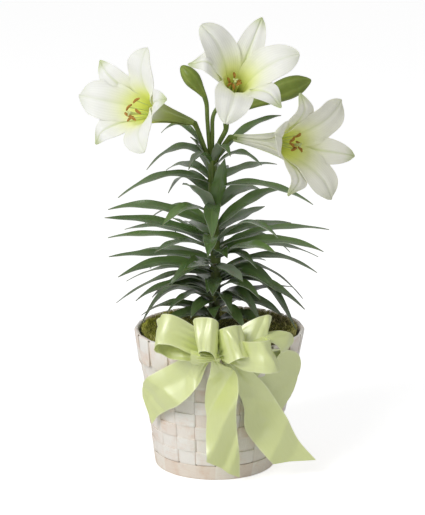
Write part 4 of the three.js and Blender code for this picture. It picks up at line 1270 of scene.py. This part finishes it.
# Loops: width is the direction across the ribbon, opening how wide the loop stands open at each of its edges,
# folds how many run along it, how deep and where they start, and creases their place along the loop, slant,
# width and height
loops = [
    {
        "name": "A", "end": (-56, -92, 161.5), "width": (0.06, 0.72, 0.69), "opening": (24, 28),
        "folds": (1.2, 0.5, 0.4), "creases": (
            (0.24, 0.1, 0.08, 2.4), (0.35, -0.12, 0.07, -2.6), (0.45, 0.15, 0.07, 2.8),
            (0.52, -0.1, 0.05, -1.2), (0.7, 0.2, 0.1, 2.0)),
    },
    {
        "name": "B", "end": (-12, -123, 168.5), "width": (-0.03, 0.3, 0.95), "opening": (15, 25),
        "folds": (1.0, 0.5, 0.1), "creases": (
            (0.36, 0.06, 0.05, 1.2), (0.43, -0.06, 0.04, -1.2), (0.52, 0.08, 0.05, 1.4),
            (0.6, 0.0, 0.04, -1.0)),
    },
    {
        "name": "C", "end": (23, -121, 161), "width": (-0.28, 0.42, 0.86), "opening": (14, 25),
        "folds": (1.3, 0.6, 0.7), "creases": (
            (0.35, 0.1, 0.05, 1.4), (0.43, -0.1, 0.05, -1.6), (0.52, 0.1, 0.05, 1.6),
            (0.62, 0.05, 0.05, -1.0)),
    },
    {
        "name": "F", "end": (56, -118, 146), "width": (-0.33, 0.2, 0.92), "opening": (24, 26),
        "folds": (1.2, 0.6, 0.2), "creases": (
            (0.3, 0.12, 0.07, 1.8), (0.42, -0.08, 0.05, -1.8), (0.52, 0.14, 0.06, 1.8),
            (0.66, 0.1, 0.06, -1.2)),
    },
    {
        "name": "D", "end": (51, -88, 161), "width": (0.18, 0.65, 0.74), "opening": (12, 20),
        "folds": (1.1, 0.5, 0.5), "creases": (
            (0.33, 0.1, 0.06, 1.6), (0.45, -0.1, 0.05, -1.4), (0.6, 0.1, 0.07, 1.4)),
    },
    {
        "name": "E", "end": (69, -93, 149), "width": (0.42, 0.85, 0.12), "opening": (24, 22),
        "folds": (1.2, 0.5, 0.9), "creases": (
            (0.35, 0.1, 0.06, 1.6), (0.46, -0.1, 0.06, -1.6), (0.6, 0.1, 0.07, 1.4)),
    },
]


def creased(creases, u, v):
    return sum(height * max(0, 1 - abs(v - at - slant * (u - 0.5)) / width)
               for at, slant, width, height in creases)


def pleated(u):
    return math.cos(2 * math.pi * ribbon["pleats"] * u)


def ribbonPiece(name, across, along, edgesAt, relief):
    # edgesAt(v) gives the two edges along the ribbon, relief(u, v) how far it stands off the flat strip
    def place(u, v):
        a, b = edgesAt(v)
        before, after = edgesAt(max(v - 0.01, 0)), edgesAt(min(v + 0.01, 1))
        line = (after[0] + after[1] - before[0] - before[1]).normalized()
        normal = (b - a).normalized().cross(line).normalized()
        return a.lerp(b, u) + normal * relief(u, v)

    piece = gridPiece(name, across, along, place)
    length = 0
    for k in range(along):
        (a, b), (c, d) = edgesAt(k / along), edgesAt((k + 1) / along)
        length += ((a + b) / 2 - (c + d) / 2).length
    scaleUv(piece, ribbon["width"], length)
    piece["stripLength"] = length
    return thicken(piece, ribbon["thickness"])


def loopPiece(loop):
    outward = Vector(loop["end"]) - knot
    length = outward.length
    outward.normalize()
    across = Vector(loop["width"]).normalized()
    side = outward.cross(across).normalized()
    count, depth, phase = loop["folds"]

    def turnAt(v):  # both ends of the strip are tucked into the knot
        return lerp(ribbon["tuck"], 2 * math.pi - ribbon["tuck"], v)

    def edgesAt(v):
        turn = turnAt(v)
        out = (1 - math.cos(turn)) / 2
        half = lerp(ribbon["gatheredHalf"], ribbon["width"] / 2, smoothstep(math.sin(turn / 2), 0.15, 0.75))
        middle = knot + outward * (length * out)
        # 1.3 is twice the most that sin(turn) * out comes to, so the loop opens as wide as it says
        low, high = (side * (opening / 1.3 * math.sin(turn) * out) for opening in loop["opening"])
        return middle + low - across * half, middle + high + across * half

    def relief(u, v):
        gathered = 1 - smoothstep(math.sin(turnAt(v) / 2), 0.2, 0.9)
        fold = depth * math.cos(2 * math.pi * (count * u + phase)) + creased(loop["creases"], u, v)
        loose = fold + ribbon["loopWander"] * ripple(u * 2.5, v * 5, phase)
        return ribbon["pleatDepth"] * gathered * pleated(u) + loose * (1 - gathered)

    return ribbonPiece(f"loop_{loop['name']}", 20, 110, edgesAt, relief)


def knotPiece():  # the gathered middle, drawn tight
    profile = [(0, 7, 6.5), (3.5, 9, 8), (10, 8, 7), (knotDepth, 4, 3.5)]
    rows = [(forward / knotDepth, halfWidth, halfHeight) for forward, halfWidth, halfHeight in profile]

    def place(u, v):
        angle = 2 * math.pi * u
        fold = 1 + 0.09 * math.cos(9 * angle) + 0.05 * math.cos(5 * angle + 3 * v)
        return Vector((knot.x + follow(rows, v, 1) * fold * math.cos(angle), knotBack - knotDepth * v,
                       knot.z + follow(rows, v, 2) * fold * math.sin(angle)))

    return closeUp(scaleUv(gridPiece("knotWrap", 72, 16, place), ribbon["width"], wrapLength))


def gathersPiece():  # the ribbon drawn together where the loops meet, below loop B
    left, right = Vector((-23, -119, 145)), Vector((4, -111, 142.5))
    leftHalf, rightHalf = 6.4, 2.2
    stripLength = 26

    def place(u, v):
        half = lerp(leftHalf, rightHalf, smoothstep(v, 0.1, 1))
        fold = 0.8 * math.cos(2 * math.pi * (4 * u + 0.4 * v)) * smoothstep(v, 0, 0.5)
        forward = Vector((0, -1, 0)) * (fold + 3 * math.sin(math.pi * u) * (1 - 0.4 * v))
        return left.lerp(right, v) + up * ((2 * u - 1) * half - 1.5 * math.sin(math.pi * v)) + forward

    piece = scaleUv(gridPiece("gathers", 40, 30, place), ribbon["width"], stripLength)
    return thicken(piece, ribbon["thickness"])


def onWall(x, z, clear):  # a point in front of the basket, clear of its wall
    radius = wallRadius(z) + 2 * chipStep + basket["chip"] / 2 + clear
    return Vector((x, -math.sqrt(radius ** 2 - (x - basket["lean"] * z) ** 2), z))


# Tails: pairs of points on the two edges, from the knot to the cut end. One fold runs along each: its place
# across the ribbon at the start and at the end, its width and depth, and the shares of the length between
# which it shows. Creases are as those of the loops
tails = {
    "tailLeft": {
        "pairs": [
            points((-2, -89, 143), (-2, -89, 136)),
            (onWall(-14, 140, 3), onWall(-8, 126, 3)),
            (onWall(-32, 131, 3), onWall(-16, 105, 8)),
            (onWall(-50, 118, 4), onWall(-30, 87, 9)),
            (onWall(-63, 107, 8), onWall(-45, 76, 8)),
            (onWall(-70, 97, 11), onWall(-56, 64, 5)),
            (onWall(-72, 82, 11), onWall(-63, 52, 6)),
        ],
        "fold": (0.55, 0.35, 0.16, 1.6, 0.3, 1.0),
        "creases": ((0.57, -0.15, 0.22, -9.0), (0.2, 0.3, 0.16, -3.0), (0.3, 0.1, 0.08, -1.2),
                    (0.84, -0.1, 0.1, -1.2)),
    },
    "tailCentre": {
        "pairs": [
            points((-4, -89.5, 139), (0.8, -89.5, 139)),
            points((-4.2, -90.3, 134.6), (1.4, -90.6, 134.4)),
            (onWall(-4, 130, 7), onWall(8, 129.5, 9)),
            (onWall(-5, 121, 8), onWall(20, 123, 10)),
            (onWall(-8, 108, 7), onWall(24, 112, 12)),
            (onWall(-10, 88, 4), onWall(24, 90, 14)),
            (onWall(-8, 68, 4), onWall(23, 70, 12)),
            (onWall(-9, 50, 6), onWall(23, 44, 7)),
            (onWall(-12, 34, 9), onWall(23, 7, 3)),
        ],
        "fold": (0.5, 0.5, 0.22, 2.0, 0.1, 0.6),
        "creases": ((0.76, -0.42, 0.23, -18.0), (1.06, -0.42, 0.3, -13.0), (0.33, -0.25, 0.12, -1.6),
                    (0.46, 0.1, 0.07, -0.8)),
    },
    "tailRight": {
        "pairs": [
            points((3, -88, 138), (8, -88, 141)),
            (onWall(12, 122, 3.4), onWall(24, 132, 4)),
            (onWall(21, 101, 3.5), onWall(38, 117, 6)),
            (onWall(28, 80, 4), onWall(51, 100, 8)),
            points((29.5, -71, 57), (66, -60, 72)),
            points((40, -69, 40), (82, -58, 42)),
            points((56.5, -63, 19.4), (100.5, -56, 19.3)),
        ],
        "fold": (0.4, 0.5, 0.2, 1.8, 0.1, 0.8),
        "creases": ((0.5, 0.2, 0.14, -3.5), (0.83, -0.25, 0.14, -7.0), (0.32, 0.1, 0.08, -1.2)),
    },
    "tailFar": {
        "pairs": [
            points((7, -89, 143), (7, -89, 137)),
            (onWall(24, 138, 2), onWall(22, 122, 2)),
            (onWall(54, 138, 3), onWall(40, 106, 2)),
            (onWall(82, 126, 7), onWall(52, 90, 3)),
            (onWall(85, 103, 11), onWall(56, 74, 3)),
            (onWall(75, 80, 7), onWall(62, 62, 3)),
        ],
        "fold": (0.5, 0.5, 0.2, 1.5, 0.1, 0.9),
        "creases": ((0.45, 0.1, 0.14, -3.0), (0.75, -0.15, 0.12, -3.0)),
    },
}


def tailPiece(name):
    tail = tails[name]
    first, second = zip(*tail["pairs"])
    start, end, width, depth, low, high = tail["fold"]

    def edgesAt(v):
        return curveAt(first, v), curveAt(second, v)

    def relief(u, v):
        gathered = (1 - smoothstep(v, 0.05, 0.4)) * smoothstep(v, 0, 0.12)
        reach = smoothstep(v, low, low + 0.12) * (1 - smoothstep(v, high - 0.12, high))
        fold = depth * reach * hill(u - lerp(start, end, v), width)
        wander = ribbon["tailWander"] * ripple(u * 2, v * 5, len(first))
        return ribbon["tailPleat"] * gathered * pleated(u) + fold + wander + creased(tail["creases"], u, v)

    return ribbonPiece(name, 20, 110, edgesAt, relief)


def pinchPiece(name, left, right):  # where a pair of tails is pinched behind the knot
    back, front = knotBack + 4.7, knotBack + 0.3

    def place(u, v):
        angle = 2 * math.pi * u
        x = (left + right) / 2 + (right - left) / 2 * math.cos(angle) * (1 + 0.05 * math.cos(7 * angle))
        y = (front + back) / 2 + (back - front) / 2 * math.sin(angle)
        return Vector((x, y, pinchTop - pinchHeight * v))

    return closeUp(scaleUv(gridPiece(name, 32, 8, place), ribbon["width"], pinchHeight))


loopPieces = [loopPiece(loop) for loop in loops]
bow = joined("bowLoops", loopPieces + [knotPiece(), gathersPiece()])
settled(bow, "ribbon", "bow_loops", material=ribbonSatin, angle=70)
for node, pinch, names in (
    ("bow_tails_left", (-5, 1.85), ("tailLeft", "tailCentre")),
    ("bow_tails_right", (2.15, 9), ("tailRight", "tailFar")),
):
    strips = [tailPiece(name) for name in names]
    pair = joined(node.replace("bow_tails_", "bowTails_"), strips + [pinchPiece(f"{node}_pinch", *pinch)])
    settled(pair, "ribbon", node, material=ribbonSatin, angle=70)

wire = {
    "radius": 0.6, "top": pinchTop + 0.9,
    "over": (-90.5, -86.8),
    "down": ((-83.6, 143.1), (-80.4, 142), (-79.3, 138.5), (-77.4, 124)),
}


def wirePiece():  # it lies over the pinched tails and hooks down inside the rim
    bends = [(y, wire["top"]) for y in wire["over"]] + list(wire["down"])
    line = [Vector((knot.x, y, z)) for y, z in bends]
    return rodPiece("bowWire", line, lambda v, angle: wire["radius"], 12, 60)


settled(wirePiece(), "wire", "bow_wire", material=wireGreen)

print("done")
